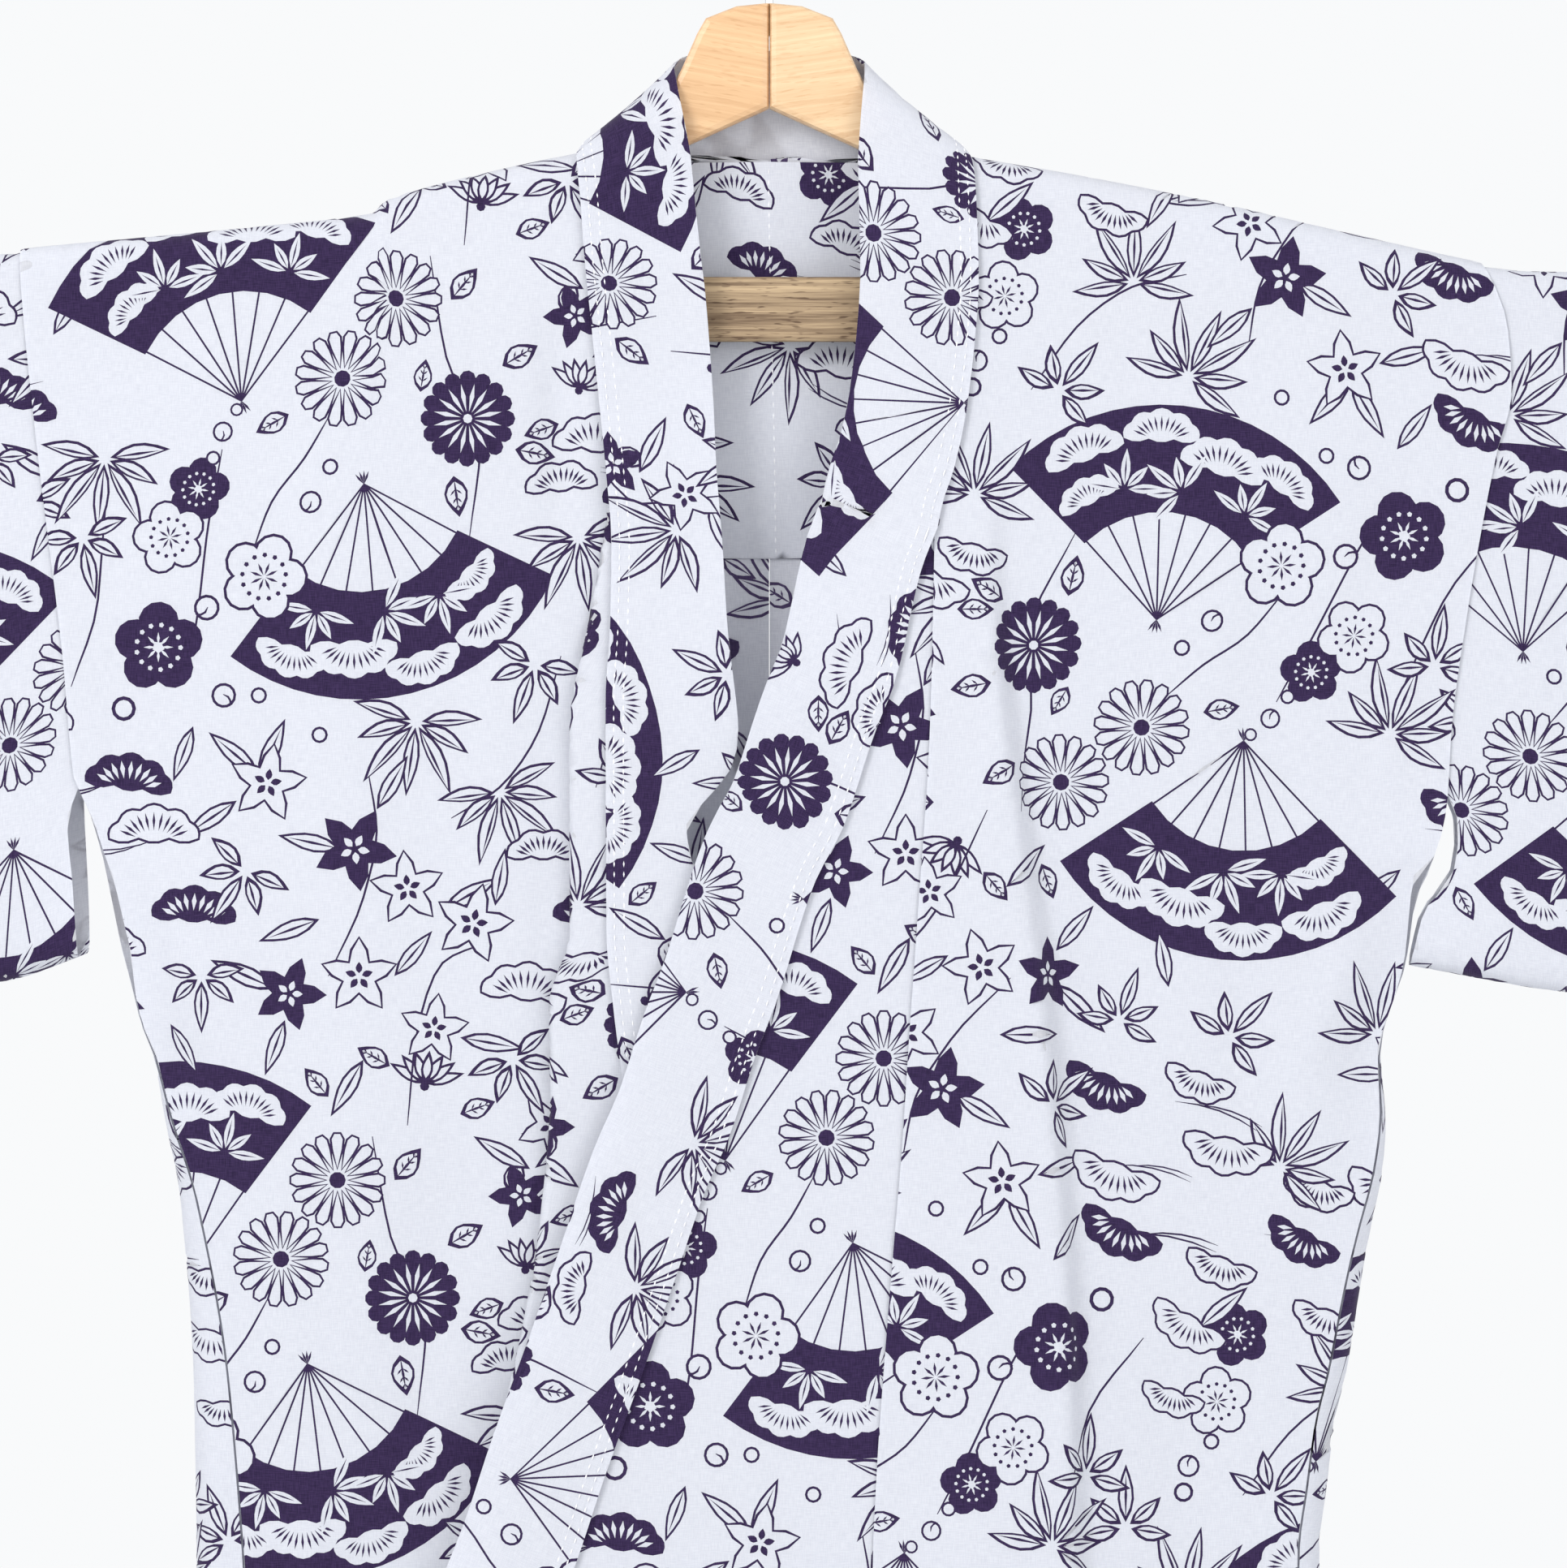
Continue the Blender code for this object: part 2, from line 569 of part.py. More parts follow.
BODY_ACROSS = {
    LEFT: (0, 0.1, 0.2, 0.28, 0.34, 0.39, 0.44, 0.49, 0.54, 0.62, 0.73, 0.84, 0.868, 0.896,
           0.922, 0.948, 0.974, 1),
    RIGHT: (0, 0.08, 0.16, 0.25, 0.335, 0.358, 0.381, 0.46, 0.56, 0.66, 0.76, 0.84, 0.868,
            0.896, 0.922, 0.948, 0.974, 1),
}
TURN_SHARES = (0.3, 0.6, 0.85, 1)
BODY_LEVELS = (-170, -210, -255, -282, -305, -325, -345, -365, -385, -417, -430, -445, -463,
               -485, -507, -525, -543, -560, -590, -630, -680, -735, -800, -940, -1120, -1310,
               HEM_Z)


def body_length(side, collection, finish):
    """One length of cloth from the back hem over the shoulder to the front hem."""
    turned = [share * ROLL * math.pi / 2 for share in TURN_SHARES]
    hung = [turned[-1] + SHOULDER_LEVEL - level for level in BODY_LEVELS]
    down = np.array([0.0] + turned + hung)[:, None]
    across = np.array(BODY_ACROSS[side])[None, :]
    down, across = np.broadcast_arrays(down, across)
    front = body_point(side, FRONT, across, down)
    back = body_point(side, BACK, across, down)
    points = [np.vstack((b[::-1], f[1:])) for b, f in zip(back, front)]
    return cloth_panel(side_name("body", side), points, CLOTH, collection, finish)


def over_overlap(collection, finish):
    top = OVERLAP_TOP[LEFT]
    z = np.array([top] + [level for level in BODY_LEVELS if level < top])[:, None]
    points = over_overlap_point(np.linspace(0, 1, 10)[None, :], z)
    return cloth_panel("overlap_left", points, CLOTH, collection, finish)


def under_overlap(collection, finish):
    top = OVERLAP_TOP[RIGHT]
    z = np.array([top] + [level for level in BODY_LEVELS if level < top])[:, None]
    along = np.concatenate((np.linspace(0, 1, 4)[:-1], np.linspace(1, 2, 6)[:-1],
                            np.linspace(2, 3, 7)))[None, :]
    z, along = np.broadcast_arrays(z, along)
    return cloth_panel("overlap_right", under_overlap_point(along, z), CLOTH, collection, finish)


COLLAR_LEVELS = (-148, -158, -170, -185, -205, -230, -255, -280, -300, -320, -345, -370, -395,
                 -410, -425, -438, -452, -475, -500, -530, -560, -590, -620, -650, -680, -710,
                 -740, -775, COLLAR_END_Z)


def collar(collection, finish):
    """The one collar strip, from the over front's end round the neck to the under front's."""
    halves = []
    for side in (LEFT, RIGHT):
        neck = neck_stations(side, np.linspace(0, 6, 19))
        front = front_stations(side, np.array(COLLAR_LEVELS, float))
        halves.append([[np.concatenate(pair) for pair in zip(neck[edge], front[edge])]
                       for edge in (0, 1)])
    seam, free = ([np.concatenate((left[::-1], right[1:])) for left, right in
                   zip(halves[0][edge], halves[1][edge])] for edge in (0, 1))
    across = np.linspace(0, 1, 5)[None, :]
    points = [lerp(s[:, None], f[:, None], across) for s, f in zip(seam, free)]
    return cloth_panel("collar", points, COLLAR_THICK, collection, finish)


def sleeve(side, collection, finish):
    sides = np.linspace(0, 1, 11)[:-1]
    turns = np.linspace(0, 1, 7)[:-1]
    ring = np.concatenate((turns, 1 + sides, 2 + turns, 3 + sides, [4.0]))
    ring[-1] = 0.0
    along = np.array((0, 0.04, 0.14, 0.3, 0.5, 0.7, 0.84, 0.92, 1))
    ring, along = np.broadcast_arrays(ring[:, None], along[None, :])
    points = sleeve_point(side, ring, along)
    return cloth_panel(side_name("sleeve", side), points, CLOTH, collection, finish, closed=True)


def yoke_lining(collection, finish):
    levels = [level for level in BODY_LEVELS if level > LINING_HEM]
    fall = [LINING_DROP] + [SHOULDER_LEVEL - level for level in levels] + [LINING_LONG]
    x, fall = np.meshgrid(np.linspace(-LINING_X, LINING_X, 15), fall)
    return cloth_panel("yoke_lining", lining_point(x, fall), CLOTH, collection, finish)


def hanger_arm(side, shank_hole, collection, finish):
    """One half of the hanger: its outline extruded, with half of the shank's hole."""
    shoulder_x = np.array(SHOULDER_XS)
    top = list(zip(ARM_TOP["x"], ARM_TOP["z"]))
    top += list(zip(shoulder_x, ridge(shoulder_x, side) - ARM_CLEARANCE))
    tip_x = ARM_TIP_X - TIP_ROUND
    tip_top = float(ridge(np.asarray(tip_x), side)) - ARM_CLEARANCE - 2
    tip = [(tip_x, tip_top), (ARM_TIP_X, tip_top - 5), (ARM_TIP_X, TIP_FOOT)]
    foot = list(zip(ARM_FOOT["x"], ARM_FOOT["z"]))
    inset = ARM_ROUND
    outline = [(max(x, CENTRE_GAP), z) for x, z in top + tip + foot]
    curve = bpy.data.curves.new("arm_outline", "CURVE")
    curve.dimensions = "2D"
    curve.fill_mode = "BOTH"
    curve.extrude = (ARM_THICK / 2 - inset) * MM
    curve.bevel_depth = inset * MM
    curve.bevel_resolution = 1
    curve.offset = -inset * MM
    line = curve.splines.new("POLY")
    line.points.add(len(outline) - 1)
    for point, (x, z) in zip(line.points, outline):
        point.co = (side * x * MM, z * MM, 0, 1)
    line.use_cyclic_u = True
    name = side_name("hanger_arm", side)
    arm = curve_mesh(name, curve, collection, finish)
    for vertex in arm.data.vertices:
        x, z, y = vertex.co
        vertex.co = (x, -y, z)
    cut = arm.modifiers.new("Shank hole", "BOOLEAN")
    cut.operation = "DIFFERENCE"
    cut.object = shank_hole
    return arm


def shank_cutter(collection):
    radius = (WIRE_RADIUS + SHANK_FIT) * MM
    top, foot = HOLE_TOP, SHANK_FOOT - SHANK_FIT
    bpy.ops.mesh.primitive_cylinder_add(vertices=16, radius=radius, depth=(top - foot) * MM,
                                        location=(0, 0, (top + foot) / 2 * MM))
    cutter = bpy.context.object
    cutter.name = "shank_cutter"
    for owner in list(cutter.users_collection):
        owner.objects.unlink(cutter)
    collection.objects.link(cutter)
    cutter.hide_render = True
    cutter.display_type = "WIRE"
    return cutter


def hook(collection, finish):
    """The wire hook: a round crown, a bend back to the middle and a straight shank."""
    centre_z = WIRE_RADIUS - HOOK_RADIUS
    angles = np.radians(np.linspace(CROWN_FROM, CROWN_TO, 24))
    crown = np.column_stack((HOOK_RADIUS * np.cos(angles), centre_z + HOOK_RADIUS * np.sin(angles)))
    start, heading = crown[-1], np.array((-math.sin(angles[-1]), math.cos(angles[-1])))
    end, pull = np.array((0.0, BEND_END)), BEND_PULL
    t = np.linspace(0, 1, 9)[1:, None]
    bend = ((1 - t) ** 3 * start + 3 * (1 - t) ** 2 * t * (start + pull * heading)
            + 3 * (1 - t) * t * t * (end + (0, pull)) + t ** 3 * end)
    route = np.vstack((crown, bend, [(0.0, SHANK_FOOT)]))
    curve = bpy.data.curves.new("hook_wire", "CURVE")
    curve.dimensions = "3D"
    curve.bevel_depth = WIRE_RADIUS * MM
    curve.bevel_resolution = 2
    curve.use_fill_caps = True
    line = curve.splines.new("POLY")
    line.points.add(len(route) - 1)
    for point, (x, z) in zip(line.points, route):
        point.co = (x * MM, 0, z * MM, 1)
    return curve_mesh("hanger_hook", curve, collection, finish)


def slat(collection, finish):
    bpy.ops.mesh.primitive_cube_add(size=1, location=(0, 0, (SLAT_TOP - SLAT_HEIGHT / 2) * MM))
    bar = bpy.context.object
    bar.name = "hanger_slat"
    for vertex in bar.data.vertices:
        vertex.co.x *= SLAT_LENGTH * MM
        vertex.co.y *= SLAT_THICK * MM
        vertex.co.z *= SLAT_HEIGHT * MM
    for owner in list(bar.users_collection):
        owner.objects.unlink(bar)
    collection.objects.link(bar)
    bar.data.materials.append(finish)
    edge = bar.modifiers.new("Rounded edges", "BEVEL")
    edge.width = SLAT_ROUND * MM
    edge.segments = 3
    return bar


def main():
    clear_scene()
    parts = new_collection("yukata_on_hanger")
    cutters = new_collection("cutters")
    cotton = material("printed_cotton", (0.86, 0.87, 0.92), 0.85)
    band = material("printed_cotton_collar", (0.80, 0.81, 0.88), 0.85)
    inside = material("cotton_wrong_side", (0.70, 0.70, 0.74), 0.9)
    beech = material("beech", (0.76, 0.52, 0.30), 0.5)
    brown = material("brown_wood", (0.42, 0.29, 0.16), 0.7)
    steel = material("bright_steel", (0.75, 0.75, 0.76), 0.25, 1.0)
    for side in (LEFT, RIGHT):
        body_length(side, parts, cotton)
        sleeve(side, parts, cotton)
    over_overlap(parts, cotton)
    under_overlap(parts, cotton)
    collar(parts, band)
    yoke_lining(parts, inside)
    hole = shank_cutter(cutters)
    for side in (LEFT, RIGHT):
        hanger_arm(side, hole, parts, beech)
    hook(parts, steel)
    slat(parts, brown)


main()
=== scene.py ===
"""Looks of the cotton yukata robe that hangs on its wooden hanger.

Each piece of cloth is drawn flat first, in the cloth's own two coordinates: its outline, and on it the
printed motifs as closed shapes. That drawing is cut into triangles once, so that every printed line has
its own faces, and then each corner is laid on the hanging surface. The surfaces are those of the CAD
model, worked out from the same named tables.

Tables and lengths are in millimetres until a mesh is made. The front faces -Y and the wearer's left is +X.
"""

import math

import bpy
import numpy as np
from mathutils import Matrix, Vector
from mathutils.geometry import delaunay_2d_cdt


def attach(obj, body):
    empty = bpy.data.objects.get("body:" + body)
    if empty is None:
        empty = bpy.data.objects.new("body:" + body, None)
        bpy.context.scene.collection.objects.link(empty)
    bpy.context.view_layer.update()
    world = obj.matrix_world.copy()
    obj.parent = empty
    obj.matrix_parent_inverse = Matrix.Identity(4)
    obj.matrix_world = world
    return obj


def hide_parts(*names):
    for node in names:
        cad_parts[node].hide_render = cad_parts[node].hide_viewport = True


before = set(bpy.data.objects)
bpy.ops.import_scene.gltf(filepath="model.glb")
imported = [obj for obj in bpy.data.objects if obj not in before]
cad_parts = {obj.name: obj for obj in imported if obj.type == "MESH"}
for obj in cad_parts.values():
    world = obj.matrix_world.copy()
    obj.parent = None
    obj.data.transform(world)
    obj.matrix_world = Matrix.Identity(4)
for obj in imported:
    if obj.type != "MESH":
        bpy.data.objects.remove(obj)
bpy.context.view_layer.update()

MM = 0.001
LEFT, RIGHT = 1, -1
FRONT, BACK = 1, -1

# Sizes that the CAD model has too
HEM_Z = -1512.0
LAP = 5.0
CUFF_X = 653.0
COLLAR_WIDTH = 54.0
COLLAR_END_Z = -806.0
SEAM_PITCH = 1.5
NECK_PITCH = 2.9
CENTRE_GAP = 0.15
ROLL = 10.0
SLEEVE_ROLL = 8.5
HANG_DEPTH = 13.0
SIDE_ROLL = 13.0
SHOULDER_LEVEL = -142.0
LEVEL_FADE = 258.0
OVER_LIFT = 14.6
ARMHOLE_FOOT = -417.0
SIDE_FOOT = -543.0
SIDE_GAP = 1.0
NECK_SIDE_X = 87.0
LINING_X = 165.0
LINING_HEM = -315.5
LINING_DROP = 2.0
LINING_LONG = 200.0

# Where one part of the hanging cloth passes softly into the next: a start and a length
TURN_FADE = 60.0
SEAM_FADE = 16.0
SLEEVE_SIDE_X, SLEEVE_SIDE_FADE = 240.0, 60.0
SLEEVE_SIDE_FOOT, SLEEVE_FOOT_FADE = -470.0, 50.0
FOLD_LIMIT_X, FOLD_LIMIT_FADE = 205.0, 35.0
OPENING_TOP = -430.0
SIDE_JOIN_TOP, SIDE_JOIN_FADE = -495.0, 48.0
PULL_TOP, PULL_FADE, PULL_SHARE = -425.0, 40.0, 0.84
UNDER_SEAM_LAP = 1.0
SOLVE_ROUNDS = 7

# Thickness of the cloth shown, and of the collar, which is four layers
THIN = 0.8
COLLAR_THIN = 1.7

# Spacing of the points that carry the hanging shape between the printed lines
OUTER_STEP = 9.0
INNER_STEP = 13.0
FINER = 0.6
FINEST = 1.7
SAG = 0.11
ALONG_BEND = 9.0


def columns(names, *rows):
    """A short table: one list of numbers for each named column."""
    return {name: np.array(values, float) for name, values in zip(names.split(), zip(*rows))}


# Height of the shoulder ridge, the middle of the cloth
RIDGE = {
    LEFT: columns("x z", (0, -121.6), (60, -122.5), (80, -128), (88, -131.5), (93, -132.6),
                  (138, -140.3), (204, -153.3), (260, -166.2), (330, -181.6), (345, -184)),
    RIGHT: columns("x z", (0, -121.6), (60, -122.5), (80, -127.5), (87, -130.6), (107, -134.6),
                   (170, -150.2), (176, -153), (182, -158.5), (240, -165), (343, -174.6),
                   (351, -175.5)),
}

# Seam where the collar is sewn on, down each front
COLLAR_SEAM = {
    LEFT: columns("z x", (-130, 92), (-151, 94.4), (-191, 95.5), (-214, 94), (-248.5, 90),
                  (-275, 84.4), (-293, 78.4), (-306, 75.9), (-320, 69.6), (-371, 57.7),
                  (-396, 48), (-440.5, 33), (-464, 20.7), (-518, 3.3), (-541, -5.5),
                  (-579, -18), (-605.5, -29.6), (-645, -43), (-691, -59), (-732, -74),
                  (-775, -88.4), (-806, -101)),
    RIGHT: columns("z x", (-128, 88.4), (-148, 86.6), (-177.5, 84.4), (-211, 81), (-244, 77.7),
                   (-276.6, 74.4), (-310, 71.8), (-348, 72.5), (-381, 74.4), (-487, 74),
                   (-520, 71), (-560, 66), (-617, 60), (-671, 55), (-708, 51), (-777, 40),
                   (-806, 35)),
}

# Inner edge of each front below the point where its overlap begins
FRONT_SEAM = {
    LEFT: columns("z x", (-306, 75.3), (-395, 72.9), (-485, 67), (-533, 63.6), (-584, 60.3),
                  (-633, 56.2), (-683, 52.2), (-732, 48.8), (-777, 47), (-1512, 45)),
    RIGHT: columns("z x", (-298, 69), (-325, 71.5), (-350, 74), (-395, 78), (-487, 78),
                   (-520, 79), (-560, 80), (-617, 81), (-671, 83), (-708, 84), (-777, 86),
                   (-1100, 88), (-1512, 90)),
}
OVERLAP_TOP = {LEFT: -296.0, RIGHT: -290.0}

# Outer edge of each front: the armhole, the side opening and the side seam
FRONT_EDGE = {
    LEFT: columns("z x", (-180, 326), (-210, 337), (-240, 339), (-269, 332), (-299, 326),
                  (-339.5, 319), (-395, 311.5), (-426.5, 309.7), (-443, 306.7), (-454, 303),
                  (-463, 294), (-484, 292), (-500, 290.5), (-511, 287.5), (-535, 282)),
    RIGHT: columns("z x", (-175, 342.6), (-195, 341.5), (-269, 334), (-358, 323),
                   (-417, 317.5), (-432, 310), (-450, 304), (-465, 299), (-483, 295),
                   (-498, 291.6), (-514, 289.7), (-530, 285.6)),
}

# Outer edge and silhouette of the back, and how much cloth wraps round to the front
BACK_EDGE = {
    LEFT: columns("z x", (-417, 310.3), (-426, 311), (-457, 304.5), (-471, 297.5),
                  (-501, 292.7), (-543, 279.7), (-575, 282), (-596, 280.5), (-620, 275.6),
                  (-639, 272), (-688, 264), (-709, 259), (-744, 254.6), (-768, 251.6),
                  (-1512, 250)),
    RIGHT: columns("z x", (-417, 317.5), (-432, 312.6), (-451, 307), (-475, 302), (-498, 297),
                   (-511, 293), (-528, 288.6), (-543, 282), (-575, 276), (-609, 269.4),
                   (-690, 263.4), (-777, 262), (-1512, 261)),
}
SIDE_WRAP = {
    LEFT: columns("z wrap", (-430, 0), (-480, 4.5), (-520, 13.6), (-543, 22.7), (-600, 31),
                  (-680, 36), (-777, 37.5)),
    RIGHT: columns("z wrap", (-430, 0), (-480, 4.5), (-520, 13.6), (-543, 22.7), (-600, 34),
                   (-680, 43), (-777, 49.8)),
}

# Back neckline on the turn of the shoulder, as a share of the front's neck edge
BACK_NECK = columns("turn share", (0, 1), (0.3, 1), (0.6, 0.9), (0.85, 0.6), (1, 0))

# Vertical fold where the over front steps up to cross the under front
STEP_FOLD = columns("z x", (-330, 104), (-376, 108), (-450, 118), (-543, 130), (-650, 137),
                    (-777, 141), (-1512, 146))
STEP_WIDTH = 12.0
STEP_SHARE = 0.25
STEP_OUTER_X = 240.0
CROSS_TOP = -240.0
CROSS_FADE = 150.0

# Long soft folds of the hanging cloth, from their upper to their lower end
FRONT_FOLDS = columns("x_high z_high x_low z_low width height",
                      (-100, -175, -97, -335, 8, -3.0),
                      (-205, -230, -180, -640, 26, 2.6),
                      (-150, -560, -165, -1512, 24, -4.0),
                      (-212, -700, -214, -1512, 18, 4.0),
                      (205, -250, 190, -620, 28, 2.4),
                      (196, -640, 204, -1512, 20, -3.6),
                      (90, -700, 96, -1512, 22, 3.4),
                      (-10, -860, -22, -1512, 28, 3.2),
                      (-66, -900, -72, -1512, 18, -2.6))
BACK_FOLDS = columns("x_high z_high x_low z_low width height",
                     (-190, -260, -150, -1512, 26, 3.6),
                     (-80, -330, -66, -1512, 30, -3.4),
                     (20, -420, 14, -1512, 28, 3.2),
                     (120, -300, 104, -1512, 30, -3.8),
                     (205, -420, 190, -1512, 20, 3.0))
FOLD_FADE = 90.0

# The under overlap is folded back on itself beside the under collar
PLEAT = columns("z x pitch", (-290, 73, 1.0), (-320, 77.5, 1.4), (-345, 82, 1.7),
                (-395, 90.7, 3.0), (-487, 90.7, 3.1), (-520, 100, 3.1), (-560, 99.5, 3.1),
                (-617, 104, 3.1), (-671, 113, 3.1), (-708, 121, 3.1), (-777, 127, 3.1),
                (-1100, 128, 3.1), (-1512, 130, 3.1))
UNDER_EDGE_HEM_X = 30.0
OVER_EDGE_X = columns("z x", (-800, -105), (-1512, -104))

# The collar round the neck, from the back to the shoulder's front, then its lift down each front
NECK_COLLAR = columns("x_left x_right turn drop free_left free_right free_y free_z",
                      (0, 0, 90, 5, 0, 0, 14, -82),
                      (32, 31, 90, 5, 24, 24, 13.5, -82),
                      (58, 55, 88, 4, 37, 37, 9.5, -84.5),
                      (75, 72, 70, 0, 42.5, 42, 3, -87.8),
                      (88, 84.5, 15, 0, 44, 43.5, -1.5, -91.4),
                      (92, 88, -40, 0, 43, 42, -9.2, -100.5),
                      (93.5, 87.8, -75, 0, 41.5, 38.5, -14, -118))
COLLAR_RISE = columns("z rise", (-148, 17), (-165, 10), (-185, 4), (-215, 0))
COLLAR_LIFT = {
    LEFT: columns("z lift", (-148, 2.8), (-312, 2.7), (-345, 1.0)),
    RIGHT: columns("z lift", (-148, 2.8), (-235, 2.7), (-290, 6.1), (-320, 6.9), (-345, 7.5),
                   (-395, 10.1), (-450, 10.3)),
}
UNDER_COLLAR_FREE = columns("z x", (-148, 36), (-181, 31.5), (-199, 29), (-244, 25.5),
                            (-276.6, 24), (-306.6, 21.5), (-348, 19), (-378, 15.5),
                            (-394, 14), (-408, 15.5), (-425, 27), (-438, 38), (-452, 36),
                            (-475, 24), (-500, 20), (-560, 12), (-671, 1), (-806, -19))

# Sleeves: ridge, bottom fold and the open inner edge below the armhole
SLEEVE_TOP = {
    LEFT: columns("x z", (325, -182.6), (345, -184.6), (364, -185.2), (420, -185.6),
                  (653, -185.6)),
    RIGHT: columns("x z", (335, -176), (343, -176.4), (400, -181), (470, -185.6),
                   (653, -185.6)),
}
SLEEVE_FOOT = {
    LEFT: columns("x z", (293, -502.3), (364, -514.5), (450, -522), (653, -526)),
    RIGHT: columns("x z", (312, -496.8), (351, -509.7), (450, -520), (653, -526)),
}
SLEEVE_MOUTH = {
    (LEFT, FRONT): columns("z x", (-417, 306), (-426, 311), (-440, 315), (-454, 313.8),
                           (-466, 310), (-475, 300), (-502, 293)),
    (RIGHT, FRONT): columns("z x", (-417, 312.5), (-424, 317), (-435, 320.8), (-445, 320.4),
                            (-461, 318.6), (-478, 317.5), (-491, 316.5)),
    (RIGHT, BACK): columns("z x", (-417, 312.5), (-424, 315), (-450, 313.8), (-473, 312.7),
                           (-499, 312)),
}
SLEEVE_MOUTH[LEFT, BACK] = SLEEVE_MOUTH[LEFT, FRONT]
CUFF_OPEN_FOOT = -385.0
CUFF_OPEN_FADE = 14.0
CUFF_SEWN_DEPTH = 0.75
CUFF_SEWN_X, CUFF_SEWN_FADE = 595.0, 50.0


# Curves and blends

def smooth(at, knots, values):
    """A monotone cubic curve through the knots, level beyond both ends."""
    order = np.argsort(knots)
    k, v = knots[order], values[order]
    width, slope = np.diff(k), np.diff(v) / np.diff(k)
    lean = np.zeros_like(v)
    lean[0], lean[-1] = slope[0], slope[-1]
    before, after = slope[:-1], slope[1:]
    same = before * after > 0
    w_before = (width[:-1] + 2 * width[1:])[same]
    w_after = (2 * width[:-1] + width[1:])[same]
    lean[1:-1][same] = (w_before + w_after) / (w_after / before[same] + w_before / after[same])
    at = np.clip(np.asarray(at, float), k[0], k[-1])
    i = np.clip(np.searchsorted(k, at, side="right") - 1, 0, len(width) - 1)
    t = (at - k[i]) / width[i]
    return (v[i] * (1 + 2 * t) * (1 - t) ** 2 + v[i + 1] * t * t * (3 - 2 * t)
            + width[i] * t * (1 - t) * (lean[i] * (1 - t) - lean[i + 1] * t))


def read(table, at, key="z", value="x"):
    """One column of a table as a smooth curve over another."""
    return smooth(at, table[key], table[value])


def step(t):
    """A soft step from 0 to 1."""
    t = np.clip(t, 0, 1)
    return t * t * (3 - 2 * t)


def lerp(a, b, t):
    return a + (b - a) * t


def ridge(x, side):
    return read(RIDGE[side], np.abs(x), "x", "z")


# Depth of the hanging cloth

def folds(table, x, z):
    """Height of the soft folds at a place on the cloth."""
    total = 0
    for x0, z0, x1, z1, width, height in zip(*table.values()):
        along = np.clip((z0 - z) / (z0 - z1), 0, 1)
        centre = lerp(x0, x1, along)
        begin = step((z0 - z) / FOLD_FADE)
        end = 1 if z1 == HEM_Z else step((z - z1) / FOLD_FADE)
        total = total + height * begin * end * np.exp(-((x - centre) / width) ** 2)
    return total


def hang_depth(x, z, side, face):
    """Distance of the body's cloth from the middle plane, below the turn of the shoulder."""
    upper = step((z - SLEEVE_SIDE_FOOT) / SLEEVE_FOOT_FADE)
    near_arm = step((np.abs(x) - SLEEVE_SIDE_X) / SLEEVE_SIDE_FADE)
    full = HANG_DEPTH - (HANG_DEPTH - ROLL) * upper * near_arm
    inward = 1 - step((np.abs(x) - FOLD_LIMIT_X) / FOLD_LIMIT_FADE)
    relief = folds(FRONT_FOLDS if face == FRONT else BACK_FOLDS, x, z) * inward
    below = ridge(x, side) - ROLL - z
    return ROLL + (full - ROLL + relief) * step(below / TURN_FADE)


def over_lift(x, z):
    """How far the over front stands out so that it clears the layers it crosses."""
    crossing = step((CROSS_TOP - z) / CROSS_FADE)
    centre = read(STEP_FOLD, z)
    raised = 1 - step((x - centre) / STEP_WIDTH + 0.5)
    fade = 1 - step((x - centre) / (STEP_OUTER_X - centre))
    return OVER_LIFT * crossing * (raised + (1 - raised) * STEP_SHARE * fade)


def front_depth(x, z, side):
    """Depth of the front cloth: the over front is lifted, the under front is not."""
    lift = over_lift(x, z) if side == LEFT else 0
    return hang_depth(x, z, side, FRONT) + lift


# Edges of the body lengths

def front_inner(z, side):
    """Inner edge of a front: under the collar above, along the overlap's seam below."""
    top = OVERLAP_TOP[side]
    under_collar = read(COLLAR_SEAM[side], np.maximum(z, top)) - LAP
    share = step((top + 0.5 * SEAM_FADE - z) / SEAM_FADE)
    return lerp(under_collar, read(FRONT_SEAM[side], z), share)


def back_end(z, side):
    """Side edge of the back: where its flat ends, its wrapped length, and its end's x and y."""
    wrap = read(SIDE_WRAP[side], z, "z", "wrap")
    edge = np.where(z > ARMHOLE_FOOT, read(FRONT_EDGE[side], z), read(BACK_EDGE[side], z))
    angle = np.minimum(wrap / SIDE_ROLL, math.pi)
    flat_end = edge - SIDE_ROLL * np.sin(np.minimum(angle, math.pi / 2))
    tail = np.maximum(wrap - math.pi * SIDE_ROLL, 0)
    end_x = flat_end + SIDE_ROLL * np.sin(angle) - tail
    end_y = hang_depth(side * flat_end, z, side, BACK) - SIDE_ROLL * (1 - np.cos(angle))
    return flat_end, wrap, end_x, end_y


def front_outer(z, side):
    """Side edge of a front: the armhole and opening, then the seam on the back's end."""
    end_x = back_end(z, side)[2]
    share = step((SIDE_JOIN_TOP - z) / SIDE_JOIN_FADE)
    return lerp(read(FRONT_EDGE[side], z), end_x - SIDE_GAP, share)


def side_edge_y(z, side):
    """y of a front's side edge, which swings back to meet the back's end below the opening."""
    foot_y = back_end(np.asarray(SIDE_FOOT), side)[3]
    opening = lerp(-ROLL, foot_y, step((OPENING_TOP - z) / (OPENING_TOP - SIDE_FOOT)))
    return np.where(z > SIDE_FOOT, opening, back_end(z, side)[3])


def hang_z(x, fall, side):
    """Height of the cloth at a distance below the turn; its levels follow the shoulder's slope."""
    lean = (ridge(x, side) - ROLL - SHOULDER_LEVEL) * (1 - step(fall / LEVEL_FADE))
    return SHOULDER_LEVEL - fall + lean


